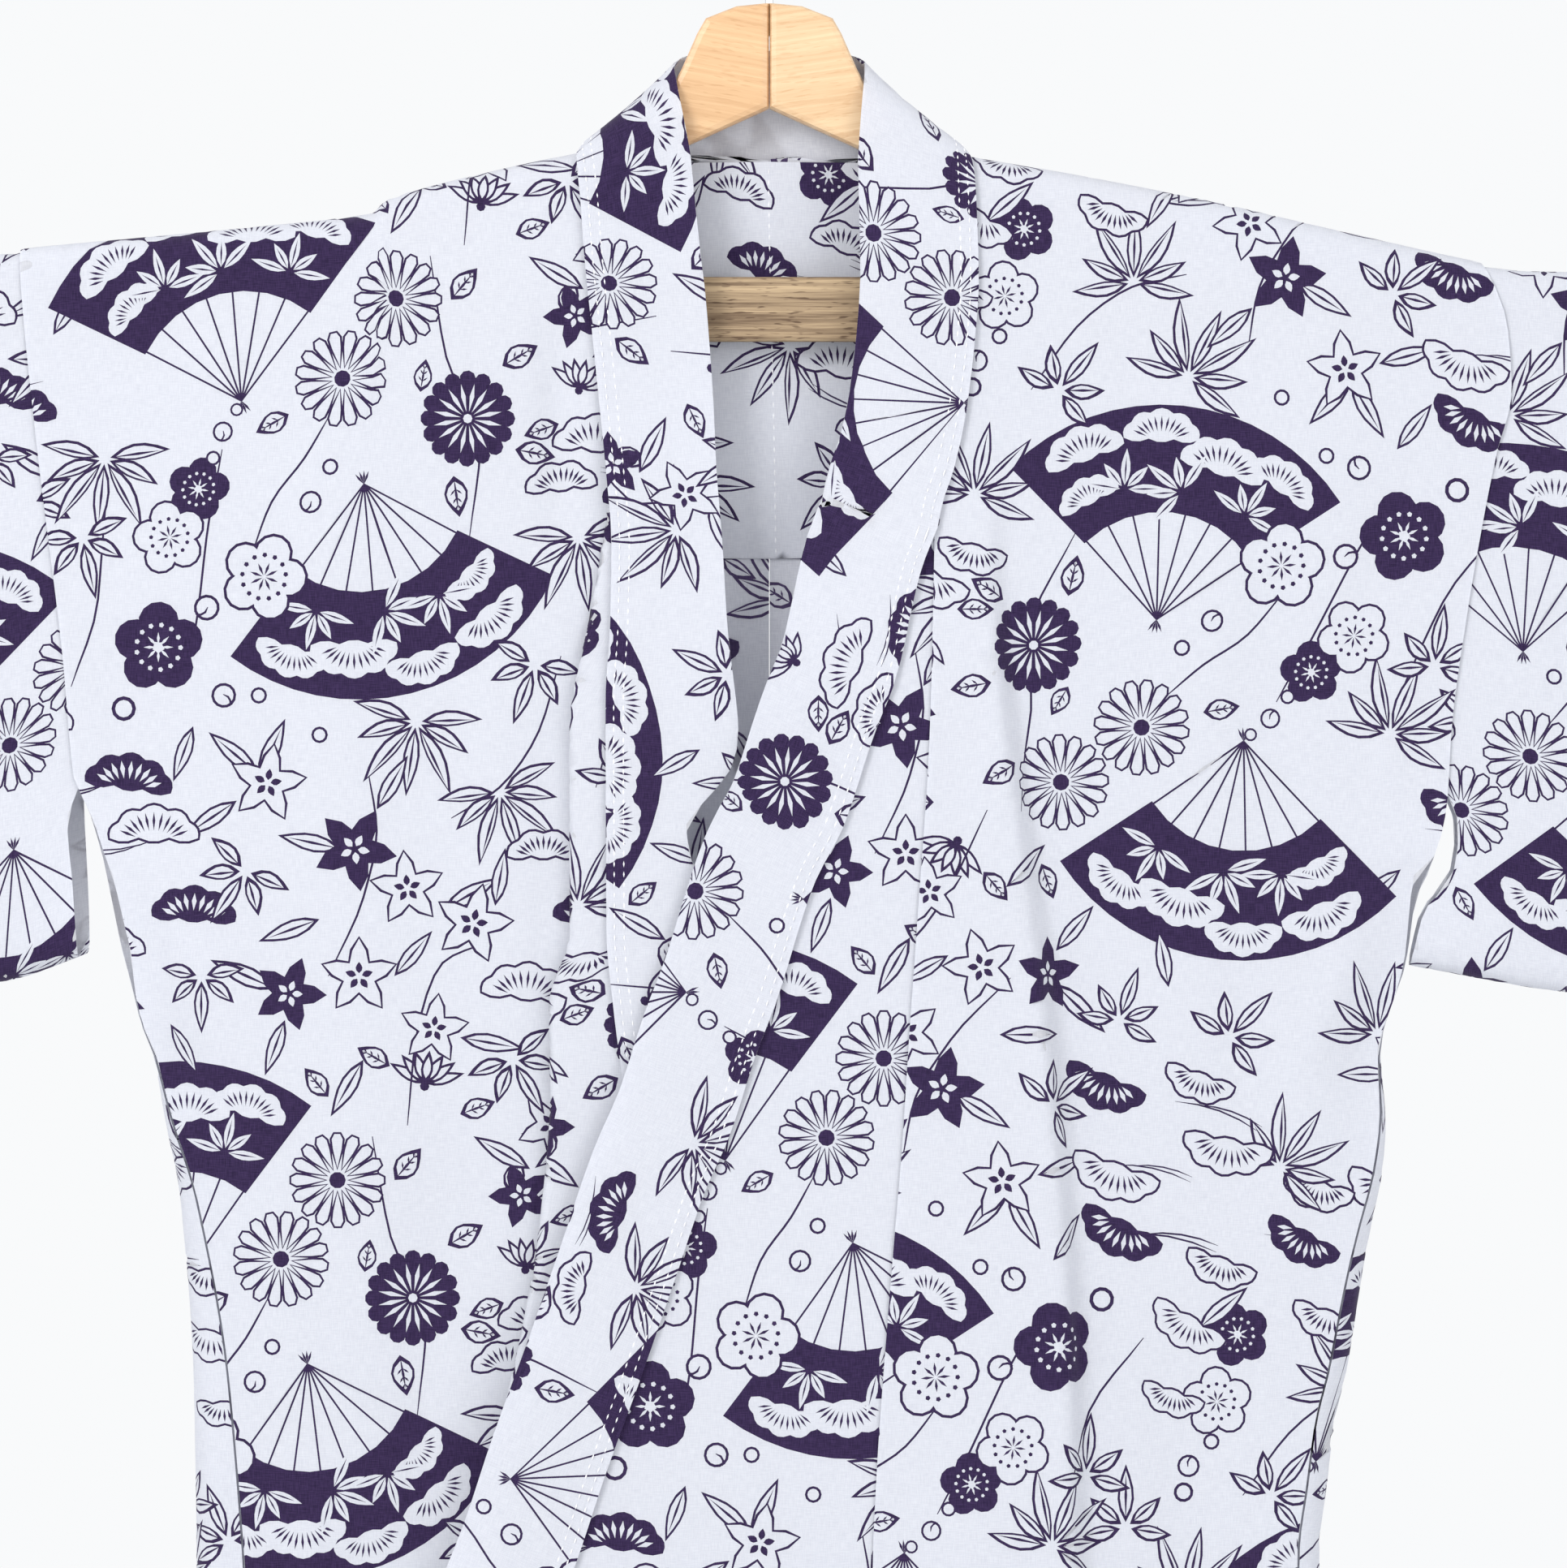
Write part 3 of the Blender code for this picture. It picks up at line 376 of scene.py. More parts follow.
def body_point(side, face, across, down):
    """A point of a body length: across runs 0 to 1 from the inner to the side edge.

    down is the distance from the shoulder ridge in mm, round the turn and then straight down.
    """
    turn = np.clip(down / ROLL, 0, math.pi / 2)
    fall = np.maximum(down - ROLL * math.pi / 2, 0)
    x = 200 + 100 * across
    for _ in range(SOLVE_ROUNDS):
        turned_z = ridge(x, side) - ROLL * (1 - np.cos(turn))
        z = np.where(fall > 0, hang_z(x, fall, side), turned_z)
        if face == FRONT:
            x = lerp(front_inner(z, side), front_outer(z, side), across)
            continue
        neck = read(BACK_NECK, turn / (math.pi / 2), "turn", "share")
        flat_end, wrap, _, _ = back_end(z, side)
        inner = neck * front_inner(ridge(np.asarray(NECK_SIDE_X), side), side) + CENTRE_GAP
        along = lerp(inner, flat_end + wrap, across)
        bend = np.clip((along - flat_end) / SIDE_ROLL, 0, math.pi)
        tail = np.maximum(along - flat_end - math.pi * SIDE_ROLL, 0)
        x = np.minimum(along, flat_end) + SIDE_ROLL * np.sin(bend) - tail
    turned = ROLL * np.sin(turn)
    if face == FRONT:
        y = -front_depth(side * x, z, side)
        pull = (step((across - PULL_SHARE) / (1 - PULL_SHARE))
                * step((PULL_TOP - z) / PULL_FADE))
        y = lerp(y, side_edge_y(z, side), pull)
        y = np.where(fall > 0, y, -turned)
    else:
        flat_x = np.minimum(x, flat_end)
        y = hang_depth(side * flat_x, z, side, BACK) - SIDE_ROLL * (1 - np.cos(bend))
        y = np.where(fall > 0, y, turned)
    return side * x, y, z


# Overlaps

def over_overlap_point(across, z):
    """The over overlap: from under the collar's seam to under the over front's edge."""
    collar_side = np.where(z > COLLAR_END_Z, read(COLLAR_SEAM[LEFT], z) - LAP,
                           read(OVER_EDGE_X, z))
    x = lerp(collar_side, front_inner(z, LEFT) + LAP, across)
    return x, -(front_depth(x, z, LEFT) - SEAM_PITCH), z


def under_edge(z):
    """|x| of the under overlap's free edge, which runs under the collar's seam."""
    seam = read(COLLAR_SEAM[RIGHT], z) - LAP
    below = lerp(read(COLLAR_SEAM[RIGHT], np.asarray(COLLAR_END_Z)) - LAP, UNDER_EDGE_HEM_X,
                 np.clip((COLLAR_END_Z - z) / (COLLAR_END_Z - HEM_Z), 0, 1))
    return np.where(z > COLLAR_END_Z, seam, below)


def under_overlap_point(along, z):
    """The under overlap: along 0 to 1 out over the front, 1 to 2 round the fold, 2 to 3 back in."""
    seam_x, fold_x = read(FRONT_SEAM[RIGHT], z), read(PLEAT, z)
    pitch = read(PLEAT, z, "z", "pitch")
    middle = fold_x - pitch
    out = lerp(seam_x - UNDER_SEAM_LAP, middle, np.clip(along, 0, 1))
    back = lerp(middle, under_edge(z), np.clip(along - 2, 0, 1))
    angle = math.pi * np.clip(along - 1, 0, 1)
    x = np.where(along <= 1, out, np.where(along >= 2, back, middle + pitch * np.sin(angle)))
    lift = SEAM_PITCH + pitch * (1 - np.cos(angle))
    return -x, -(hang_depth(-x, z, RIGHT, FRONT) + lift), z


# Collar

def neck_stations(side, at):
    """Seam and free edge of the collar round the neck, at places 0 to 6 of its table."""
    place = np.arange(len(NECK_COLLAR["turn"]), dtype=float)
    names = ("left", "right")[side == RIGHT]
    x, turn, drop, free_x, free_y, free_z = (
        smooth(at, place, NECK_COLLAR[name])
        for name in ("x_" + names, "turn", "drop", "free_" + names, "free_y", "free_z"))
    turn = np.radians(turn)
    radius = ROLL + NECK_PITCH
    seam = (side * x, radius * np.sin(turn), ridge(x, side) - ROLL + radius * np.cos(turn) - drop)
    return seam, (side * free_x, free_y, free_z)


def front_stations(side, z):
    """Seam and free edge of the collar down one front, at the seam's heights."""
    x = side * read(COLLAR_SEAM[side], z)
    lift = read(COLLAR_LIFT[side], z, "z", "lift")
    rise = read(COLLAR_RISE, z, "z", "rise")
    if side == LEFT:
        slope = (read(COLLAR_SEAM[side], z + 3) - read(COLLAR_SEAM[side], z - 3)) / 6
        length = np.hypot(slope, 1)
        free_x, free_z = x - COLLAR_WIDTH / length, z + COLLAR_WIDTH * slope / length + rise
    else:
        free_x, free_z = -read(UNDER_COLLAR_FREE, z), z + rise
    seam = (x, -(front_depth(x, z, side) + lift), z)
    return seam, (free_x, -(front_depth(free_x, free_z, side) + lift), free_z)


# Sleeves and lining

def sleeve_point(side, ring, along):
    """A point of a sleeve: ring 0 to 4 goes top, front, bottom, back; along 0 to 1 to the cuff."""
    quarter = np.floor(ring)
    part = ring - quarter
    arc = math.pi * (part - 0.5)
    top, front, bottom = quarter == 0, quarter == 1, quarter == 2
    share = np.where(top, 0, np.where(front, part, np.where(bottom, 1, 1 - part)))
    rise = np.where(top, np.cos(arc), np.where(bottom, -np.cos(arc), 0))
    lean = np.where(top, np.sin(arc), np.where(front, 1, np.where(bottom, -np.sin(arc), -1)))
    x = 330 + 320 * along
    for _ in range(SOLVE_ROUNDS):
        upper = read(SLEEVE_TOP[side], x, "x", "z") - SLEEVE_ROLL
        lower = read(SLEEVE_FOOT[side], x, "x", "z") + SLEEVE_ROLL
        z = lerp(upper, lower, share) + SLEEVE_ROLL * rise
        mouth = np.where(lean >= 0, read(SLEEVE_MOUTH[side, FRONT], z),
                         read(SLEEVE_MOUTH[side, BACK], z))
        inner = np.where(z > ARMHOLE_FOOT, read(FRONT_EDGE[side], z) - LAP, mouth)
        x = lerp(inner, CUFF_X, along)
    sewn = (step((x - CUFF_SEWN_X) / CUFF_SEWN_FADE)
            * step((CUFF_OPEN_FOOT - z) / CUFF_OPEN_FADE))
    depth = lerp(SLEEVE_ROLL, CUFF_SEWN_DEPTH, sewn)
    return side * x, -lean * depth, z


def lining_point(x, fall):
    """The yoke lining, just inside the back from the neck to its own straight hem."""
    z = np.where(x > 0, hang_z(x, fall, LEFT), hang_z(x, fall, RIGHT))
    z = np.maximum(z, LINING_HEM)
    depth = np.where(x > 0, hang_depth(x, z, LEFT, BACK), hang_depth(x, z, RIGHT, BACK))
    return x, depth - SEAM_PITCH, z


# Small creases, from one end to the other on the flat cloth, in mm; height is up to the net's normal

BODY_CREASES = {
    RIGHT: columns("s0 t0 s1 t1 width height",
                   (-98, 190, -92, 318, 7, -1.3), (-176, 152, -196, 250, 9, 1.1),
                   (-306, 250, -262, 392, 9, 0.9), (-312, 330, -284, 470, 7, -0.9),
                   (-296, 424, -244, 560, 8, 1.0), (-128, 330, -120, 520, 10, 0.9),
                   (-100, 360, -106, 560, 6, -0.9), (-232, 560, -214, 760, 12, 1.1),
                   (-252, 520, -246, 640, 6, -0.8), (-140, 620, -152, 790, 9, 1.0),
                   (-190, 300, -150, 420, 14, 0.8), (-200, 900, -190, 1300, 14, 1.4),
                   (-130, 1000, -142, 1400, 12, -1.2), (-70, -300, -90, -900, 14, 1.2),
                   (-170, -200, -150, -700, 12, -1.1), (-240, -260, -220, -600, 10, 1.0)),
    LEFT: columns("s0 t0 s1 t1 width height",
                  (300, 230, 262, 372, 9, 0.9), (308, 320, 280, 452, 7, -0.9),
                  (290, 420, 240, 540, 8, 1.0), (160, 180, 176, 300, 10, 0.8),
                  (210, 470, 226, 640, 12, 1.0), (246, 520, 240, 660, 6, -0.8),
                  (92, 330, 84, 520, 8, 0.7), (120, 500, 126, 600, 5, -0.9),
                  (134, 590, 140, 760, 4, -1.0), (180, 640, 192, 800, 10, 0.9),
                  (200, 900, 190, 1300, 14, 1.4), (110, 1000, 122, 1400, 12, -1.2),
                  (80, -300, 96, -900, 14, 1.2), (176, -220, 156, -700, 12, -1.1),
                  (240, -260, 224, -600, 10, 1.0)),
}
SLEEVE_CREASES = {
    RIGHT: columns("s0 t0 s1 t1 width height",
                   (-352, 300, -372, 430, 8, 0.9), (-336, 396, -372, 486, 6, -0.8),
                   (-420, 240, -430, 440, 14, 0.9), (-520, 230, -512, 430, 12, -0.9),
                   (-590, 240, -600, 400, 10, 0.8)),
    LEFT: columns("s0 t0 s1 t1 width height",
                  (344, 184, 350, 205, 3, 0.7), (340, 200, 352, 224, 3, -0.7),
                  (338, 226, 350, 246, 3, 0.6), (350, 300, 372, 430, 8, 0.9),
                  (332, 396, 366, 486, 6, -0.8), (430, 240, 440, 440, 14, 0.9),
                  (520, 230, 512, 430, 12, -0.9), (590, 240, 600, 400, 10, 0.8)),
}

CREASE_SWAY, CREASE_WAVES = 0.12, 7


def crease_height(table, s, t):
    """Height of the creases at flat places; each one fades out over a third at both ends."""
    total = 0
    for s0, t0, s1, t1, width, height in zip(*table.values()):
        run_s, run_t = s1 - s0, t1 - t0
        length = math.hypot(run_s, run_t)
        along = ((s - s0) * run_s + (t - t0) * run_t) / length ** 2
        aside = ((s - s0) * run_t - (t - t0) * run_s) / length
        aside = aside + CREASE_SWAY * width * np.sin(CREASE_WAVES * along + s0)
        ends = step(along * 3) * step((1 - along) * 3)
        total = total + height * ends * np.exp(-(aside / width) ** 2)
    return total


# Flat cloth and how it hangs

class Cloth:
    """A hanging sheet as a net of points, even along each row, with the flat size of each row.

    A place on the flat cloth is (s, t): s mm across from the row's start, t mm down the rows.
    """

    def __init__(self, points, t, start, sense=1, cols=96, lean=None, creases=None):
        net = np.stack(np.broadcast_arrays(*points), axis=-1)
        gaps = np.linalg.norm(np.diff(net, axis=1), axis=2)
        arc = np.concatenate((np.zeros((len(net), 1)), np.cumsum(gaps, axis=1)), axis=1)
        self.width = arc[:, -1]
        even = np.linspace(0, 1, cols)
        self.net = np.array([[np.interp(even * w, a, row[:, i]) for i in range(3)]
                             for w, a, row in zip(self.width, arc, net)]).transpose(0, 2, 1)
        self.t = np.asarray(t, float)
        self.start = np.broadcast_to(np.asarray(start, float), self.t.shape)
        self.sense = sense
        self.lean = lean
        self.normal = self.net_normals()
        if creases is not None:
            across = self.start[:, None] + sense * even * self.width[:, None]
            height = crease_height(creases, across, self.t[:, None])
            self.net = self.net + self.normal * height[:, :, None]
            self.normal = self.net_normals()
        self.bends = [self.bend(axis) for axis in (0, 1)]

    def net_normals(self):
        down = np.gradient(self.net, self.t, axis=0)
        across = np.gradient(self.net, axis=1)
        normal = np.cross(across, down)
        return normal / np.maximum(np.linalg.norm(normal, axis=2, keepdims=True), 1e-9)

    def bend(self, axis):
        """How sharply the net bends down (0) or across (1) at each point, as 1 / radius."""
        gap = np.linalg.norm(np.diff(self.net, axis=axis), axis=2)
        turned = np.linalg.norm(np.diff(self.normal, axis=axis), axis=2)
        rate = turned / np.maximum(gap, 0.3)
        return np.pad(rate, ((0, 1 - axis), (0, axis)), mode="edge")

    def bent_places(self):
        """Flat places that lie closer together across each bend, and far apart along it."""
        length, widest = self.t[-1] - self.t[0], self.width.max()
        places = []
        for axis in (0, 1):
            coarse = OUTER_STEP
            while coarse > FINEST:
                fine = FINER * coarse
                low, high = 8 * SAG / coarse ** 2, 8 * SAG / fine ** 2
                if fine <= FINEST:
                    high = np.inf
                gap_down, gap_across = (ALONG_BEND, fine) if axis else (fine, ALONG_BEND)
                row, offset = np.meshgrid(self.t[0] + np.arange(0.5 * gap_down, length, gap_down),
                                          np.arange(0.5 * gap_across, widest, gap_across),
                                          indexing="ij")
                share = offset / np.interp(row, self.t, self.width)
                r = np.interp(row, self.t, np.arange(len(self.t))).astype(int)
                c = (np.clip(share, 0, 1) * (self.net.shape[1] - 1)).astype(int)
                bend = self.bends[axis][r, c]
                kept = (bend > low) & (bend <= high) & (share > 0.004) & (share < 0.996)
                places.append(np.column_stack(self.flat(row[kept], share[kept])))
                coarse = fine
        return places

    def cut(self):
        """Greatest width, length and area of the flat cloth, in metres."""
        area = np.sum(0.5 * (self.width[1:] + self.width[:-1]) * np.diff(self.t))
        return self.width.max() * MM, (self.t[-1] - self.t[0]) * MM, area * MM * MM

    def row_t(self, s, t):
        """The row's own t for a flat place, where the rows lean with the shoulder."""
        if self.lean is None:
            return t
        row = t
        for _ in range(12):
            row = t + self.lean(s, row)
        return row

    def flat(self, row, share):
        """The flat place of a point on a row, share 0 to 1 along it."""
        width = np.interp(row, self.t, self.width)
        s = np.interp(row, self.t, self.start) + self.sense * share * width
        return s, row - (0 if self.lean is None else self.lean(s, row))

    def place(self, s, t):
        """Where flat places hang, and the cloth's normal there."""
        row = self.row_t(s, t)
        width = np.interp(row, self.t, self.width)
        share = self.sense * (s - np.interp(row, self.t, self.start)) / width
        edge = np.minimum(np.clip(share, 0, 1), 1 - np.clip(share, 0, 1)) * width
        edge = np.minimum(edge, np.minimum(row - self.t[0], self.t[-1] - row))
        r = np.interp(row, self.t, np.arange(len(self.t)))
        c = np.clip(share, 0, 1) * (self.net.shape[1] - 1)
        r0 = np.minimum(r.astype(int), len(self.t) - 2)
        c0 = np.minimum(c.astype(int), self.net.shape[1] - 2)
        fr, fc = (r - r0)[:, None], (c - c0)[:, None]
        found = []
        for grid in (self.net, self.normal):
            upper = lerp(grid[r0, c0], grid[r0, c0 + 1], fc)
            lower = lerp(grid[r0 + 1, c0], grid[r0 + 1, c0 + 1], fc)
            found.append(lerp(upper, lower, fr))
        point, normal = found
        normal = normal / np.maximum(np.linalg.norm(normal, axis=1, keepdims=True), 1e-9)
        return point, normal, np.maximum(edge, 0)

    def holds(self, s, t):
        """Whether flat places are on the cloth."""
        row = self.row_t(s, t)
        width = np.interp(row, self.t, self.width)
        share = self.sense * (s - np.interp(row, self.t, self.start)) / width
        return (share > 0) & (share < 1) & (row > self.t[0]) & (row < self.t[-1])

    def outline(self, spacing):
        """The cloth's cut edge on the flat, once round."""
        rows = np.linspace(self.t[0], self.t[-1], max(2, int((self.t[-1] - self.t[0]) / spacing)))
        sides = []
        for share in (0.0, 1.0):
            sides.append(np.column_stack(self.flat(rows, np.full(len(rows), share))))
        ends = []
        for row, width in ((self.t[-1], self.width[-1]), (self.t[0], self.width[0])):
            share = np.linspace(0, 1, max(2, int(width / spacing)))
            ends.append(np.column_stack(self.flat(np.full(len(share), row), share)))
        left, right = sides
        foot, head = ends
        return np.vstack((left, foot[1:-1], right[::-1], head[::-1][1:-1]))

    def inner_points(self, spacing):
        """Even flat places inside the edge that carry the hanging shape."""
        count = max(3, int((self.t[-1] - self.t[0]) / spacing))
        rows = np.linspace(self.t[0], self.t[-1], count)[1:-1]
        places = []
        for i, row in enumerate(rows):
            width = np.interp(row, self.t, self.width)
            n = max(2, int(width / spacing))
            share = (np.arange(1, n) + 0.25 * (-1) ** i) / n
            places.append(np.column_stack(self.flat(np.full(len(share), row), share)))
        return np.vstack(places + self.bent_places())


PAPER, INK = 0, 1


def covers(shape, points):
    """Which points lie inside a closed flat shape."""
    x, y = points[:, 0][:, None], points[:, 1][:, None]
    x0, y0 = shape[:, 0], shape[:, 1]
    x1, y1 = np.roll(x0, -1), np.roll(y0, -1)
    spans = (y0 > y) != (y1 > y)
    rise = np.where(y1 == y0, 1.0, y1 - y0)
    return (spans & (x < x0 + (y - y0) * (x1 - x0) / rise)).sum(axis=1) % 2 == 1


def cut_drawing(cloth, outline, points, shapes):
    """Cuts the flat drawing into triangles; each takes the last shape that covers its middle."""
    closed = [outline] + [shape for shape, _ in shapes]
    edges, total = [], 0
    for shape in closed:
        ids = np.arange(total, total + len(shape))
        edges.append(np.column_stack((ids, np.roll(ids, -1))))
        total += len(shape)
    flat = np.vstack(closed + [points])
    places, _, triangles, _, _, _ = delaunay_2d_cdt(
        [Vector(p) for p in flat.tolist()], np.vstack(edges).tolist(), [], 0, 1e-5, False)
    places = np.array([p[:] for p in places])
    triangles = np.array([t[:] for t in triangles])
    middle = places[triangles].mean(axis=1)
    kept = cloth.holds(middle[:, 0], middle[:, 1])
    triangles, middle = triangles[kept], middle[kept]
    order = np.argsort(middle[:, 1])
    triangles, middle = triangles[order], middle[order]
    inks = np.zeros(len(triangles), int)
    for shape, kind in shapes:
        (low_x, low_y), (high_x, high_y) = shape.min(0), shape.max(0)
        first, last = np.searchsorted(middle[:, 1], (low_y, high_y))
        among = first + np.flatnonzero((middle[first:last, 0] > low_x)
                                       & (middle[first:last, 0] < high_x))
        inks[among[covers(shape, middle[among])]] = kind
    return places, triangles, inks


def near(shapes, low, high):
    """The shapes that touch a box on the flat cloth."""
    return [(p, kind) for p, kind in shapes
            if (p.max(0) > low).all() and (p.min(0) < high).all()]


class Build:
    """Collects the layers of one piece and makes its mesh."""

    def __init__(self):
        self.points, self.normals, self.flats, self.faces, self.slots = [], [], [], [], []
        self.count = 0

    def layer(self, cloth, shapes, spacing, offset=0.0, slots=(0, 1), rounding=2.0):
        """Adds one printed or plain layer, moved along its normal but for its very edge."""
        outline = cloth.outline(spacing)
        shapes = near(shapes, outline.min(0), outline.max(0))
        flat, corners, inks = cut_drawing(cloth, outline, cloth.inner_points(spacing), shapes)
        point, normal, edge = cloth.place(flat[:, 0], flat[:, 1])
        inset = 1 - np.clip(edge / rounding, 0, 1)
        point = point + normal * (offset * np.sqrt(1 - inset ** 2))[:, None]
        normal = normal * (-1 if offset < 0 else 1)
        a, b, c = (point[corners[:, i]] for i in range(3))
        facing_out = np.sum(np.cross(b - a, c - a) * normal[corners[:, 0]], axis=1).sum() > 0
        if not facing_out:
            corners = corners[:, ::-1]
        self.points.append(point)
        self.normals.append(normal)
        self.flats.append(flat)
        self.faces.extend((corners + self.count).tolist())
        self.slots.append(np.array(slots)[inks])
        self.count += len(point)

    def finish(self, name, materials):
        mesh = bpy.data.meshes.new(name)
        points = np.vstack(self.points) * MM
        mesh.from_pydata(points.tolist(), [], self.faces)
        for finish in materials:
            mesh.materials.append(finish)
        mesh.polygons.foreach_set("material_index", np.concatenate(self.slots).astype(np.int32))
        mesh.polygons.foreach_set("use_smooth", np.ones(len(self.faces), bool))
        layer = mesh.uv_layers.new(name="cloth")
        corner = np.empty(len(mesh.loops), np.int32)
        mesh.loops.foreach_get("vertex_index", corner)
        layer.data.foreach_set("uv", (np.vstack(self.flats) * MM)[corner].ravel())
        mesh.normals_split_custom_set_from_vertices(np.vstack(self.normals).tolist())
        mesh.update()
        return added(name, mesh)


def added(name, data):
    """A new object of the scene, made of a mesh, a light or a camera."""
    piece = bpy.data.objects.new(name, data)
    bpy.context.scene.collection.objects.link(piece)
    return piece


# Simple flat shapes of the print, in mm, x to the right and y down the cloth

def turn_to(points, angle, at=(0.0, 0.0)):
    """Points turned by an angle in degrees and moved."""
    c, s = math.cos(math.radians(angle)), math.sin(math.radians(angle))
    points = np.atleast_2d(points)
    return points @ np.array(((c, s), (-s, c))) + at


def disc(x, y, radius, kind, sides=14):
    angle = np.arange(sides) * 2 * math.pi / sides
    return [(np.column_stack((x + radius * np.cos(angle), y + radius * np.sin(angle))), kind)]


def ring(x, y, radius, sides=14):
    return disc(x, y, radius, INK, sides) + disc(x, y, radius - LINE, PAPER, sides)


def bow(start, end, bulge=0.0, count=7):
    """Points on a shallow curve from start to end that bulges to one side."""
    start, end = np.array(start, float), np.array(end, float)
    t = np.linspace(0, 1, count)[:, None]
    aside = np.array((-(end - start)[1], (end - start)[0]))
    return start + (end - start) * t + aside * bulge * 4 * t * (1 - t)


def line(path, kind=INK, width=None, taper=0.35):
    """A drawn line with thin ends."""
    width = LINE if width is None else width
    along = np.gradient(path, axis=0)
    aside = np.column_stack((-along[:, 1], along[:, 0]))
    aside /= np.linalg.norm(aside, axis=1)[:, None]
    t = np.linspace(-1, 1, len(path))[:, None]
    half = 0.5 * width * (1 - (1 - taper) * t ** 4)
    return [(np.vstack((path + aside * half, (path - aside * half)[::-1])), kind)]


def stroke(start, end, width, kind=INK):
    """A straight stroke, pointed at both ends."""
    start, end = np.array(start, float), np.array(end, float)
    along = end - start
    aside = 0.5 * width * np.array((-along[1], along[0])) / np.hypot(*along)
    middle = start + 0.55 * along
    return [(np.vstack((start, middle + aside, end, middle - aside)), kind)]


def rod(start, end, width, kind=INK):
    """A straight stroke with square ends."""
    start, end = np.array(start, float), np.array(end, float)
    aside = 0.5 * width * np.array((-(end - start)[1], (end - start)[0])) / np.hypot(*(end - start))
    return [(np.vstack((start - aside, end - aside, end + aside, start + aside)), kind)]


def lens(base, tip, wide, count=5, bulge=0.0):
    """A pointed leaf's outline."""
    middle = bow(base, tip, bulge, count + 1)
    along = np.array(tip, float) - base
    aside = np.array((-along[1], along[0])) / np.hypot(*along)
    half = 0.5 * wide * np.sin(math.pi * np.linspace(0, 1, count + 1)[1:-1] ** 0.85)[:, None]
    inner = middle[1:-1]
    return np.vstack((middle[:1], inner + aside * half, middle[-1:], (inner - aside * half)[::-1]))


def leaf(base, tip, wide, dark=False, bulge=0.0, rib=True):
    """A leaf in outline with its midrib, or a dark one with a white midrib."""
    base, tip = np.array(base, float), np.array(tip, float)
    length = np.hypot(*(tip - base))
    parts = [(lens(base, tip, wide, bulge=bulge), INK)]
    if not dark:
        near_base, near_tip = lerp(base, tip, 2.2 * LINE / length), lerp(base, tip, 1 - 2.6 * LINE / length)
        parts.append((lens(near_base, near_tip, wide - 1.9 * LINE, bulge=bulge), PAPER))
    if rib:
        parts += stroke(base, lerp(base, tip, 0.84), 1.1 * LINE, PAPER if dark else INK)
    return parts


LINE = 1.15


def outlined(shape, centre, dark=False, line_width=None):
    """A closed shape in ink, with the same shape drawn in by a line's width in white."""
    if dark:
        return [(shape, INK)]
    width = LINE if line_width is None else line_width
    along = np.roll(shape, -1, axis=0) - np.roll(shape, 1, axis=0)
    aside = np.column_stack((-along[:, 1], along[:, 0]))
    aside /= np.maximum(np.linalg.norm(aside, axis=1), 1e-6)[:, None]
    if np.sum((shape - centre) * aside) < 0:
        aside = -aside
    return [(shape, INK), (shape - aside * width, PAPER)]


def bamboo(spread=7, length=40.0):
    """A spray of bamboo leaves from one point, pointing down the cloth."""
    parts = []
    for i, angle in enumerate(np.linspace(-100, 100, spread)):
        reach = length * (1 - 0.24 * abs(angle) / 100 - 0.14 * (i % 2))
        tip = turn_to((0.0, reach), angle)[0]
        root = turn_to((0.0, 2.5), angle)[0]
        parts += leaf(root, tip, 7.6, bulge=0.04 * np.sign(angle))
    return parts


def reversed_bamboo(spread=5, length=24.0):
    """White leaves on a dark ground, with an ink midrib."""
    parts = []
    for i, angle in enumerate(np.linspace(-85, 85, spread)):
        tip = turn_to((0.0, length * (1 - 0.2 * (i % 2))), angle)[0]
        root = turn_to((0.0, 2.5), angle)[0]
        parts.append((lens(root, tip, 5.6), PAPER))
        parts += stroke(root, lerp(root, tip, 0.8), 0.9 * LINE)
    return parts


def scallops(half, rise, bumps, base_bumps=3):
    """The cloud outline of a pine cluster: arcs over the top, shallow arcs along the foot."""
    points = []
    angles = np.linspace(math.pi, 2 * math.pi, bumps + 1)
    for a0, a1 in zip(angles[:-1], angles[1:]):
        start = np.array((half * math.cos(a0), rise * math.sin(a0)))
        end = np.array((half * math.cos(a1), rise * math.sin(a1)))
        points.append(bow(start, end, -0.22, 5)[:-1])
    corners = np.linspace(half, -half, base_bumps + 1)
    for x0, x1 in zip(corners[:-1], corners[1:]):
        points.append(bow((x0, 0.0), (x1, 0.0), -0.13, 4)[:-1])
    return np.vstack(points)


def pine(half=21.0, rise=15.0, bumps=5, dark=False, white=False):
    """A pine cluster with needles that spread from its foot."""
    shape = scallops(half, rise, bumps)
    if white:
        parts = [(shape, PAPER)]
    else:
        parts = outlined(shape, (0.0, -rise / 2), dark)
    tone = PAPER if dark else INK
    width = 2.1 * LINE if dark else 1.15 * LINE
    for angle in np.linspace(-70, 70, 9 if dark else 11):
        lean = math.radians(angle)
        start = np.array((0.42 * half * math.sin(lean), -0.28 * rise * math.cos(lean)))
        end = np.array((0.80 * half * math.sin(lean), -0.86 * rise * math.cos(lean)))
        parts += stroke(start, end, width, tone)
    return parts


def mist(length=46.0, lines=2):
    """Thin trailing lines beside a pine cluster."""
    parts = []
    for i in range(lines):
        y = 3.0 * i
        parts += line(bow((0.0, y), (length * (1 - 0.25 * i), y - 3.0), 0.07, 5), INK, 0.75 * LINE, 0.2)
    return parts


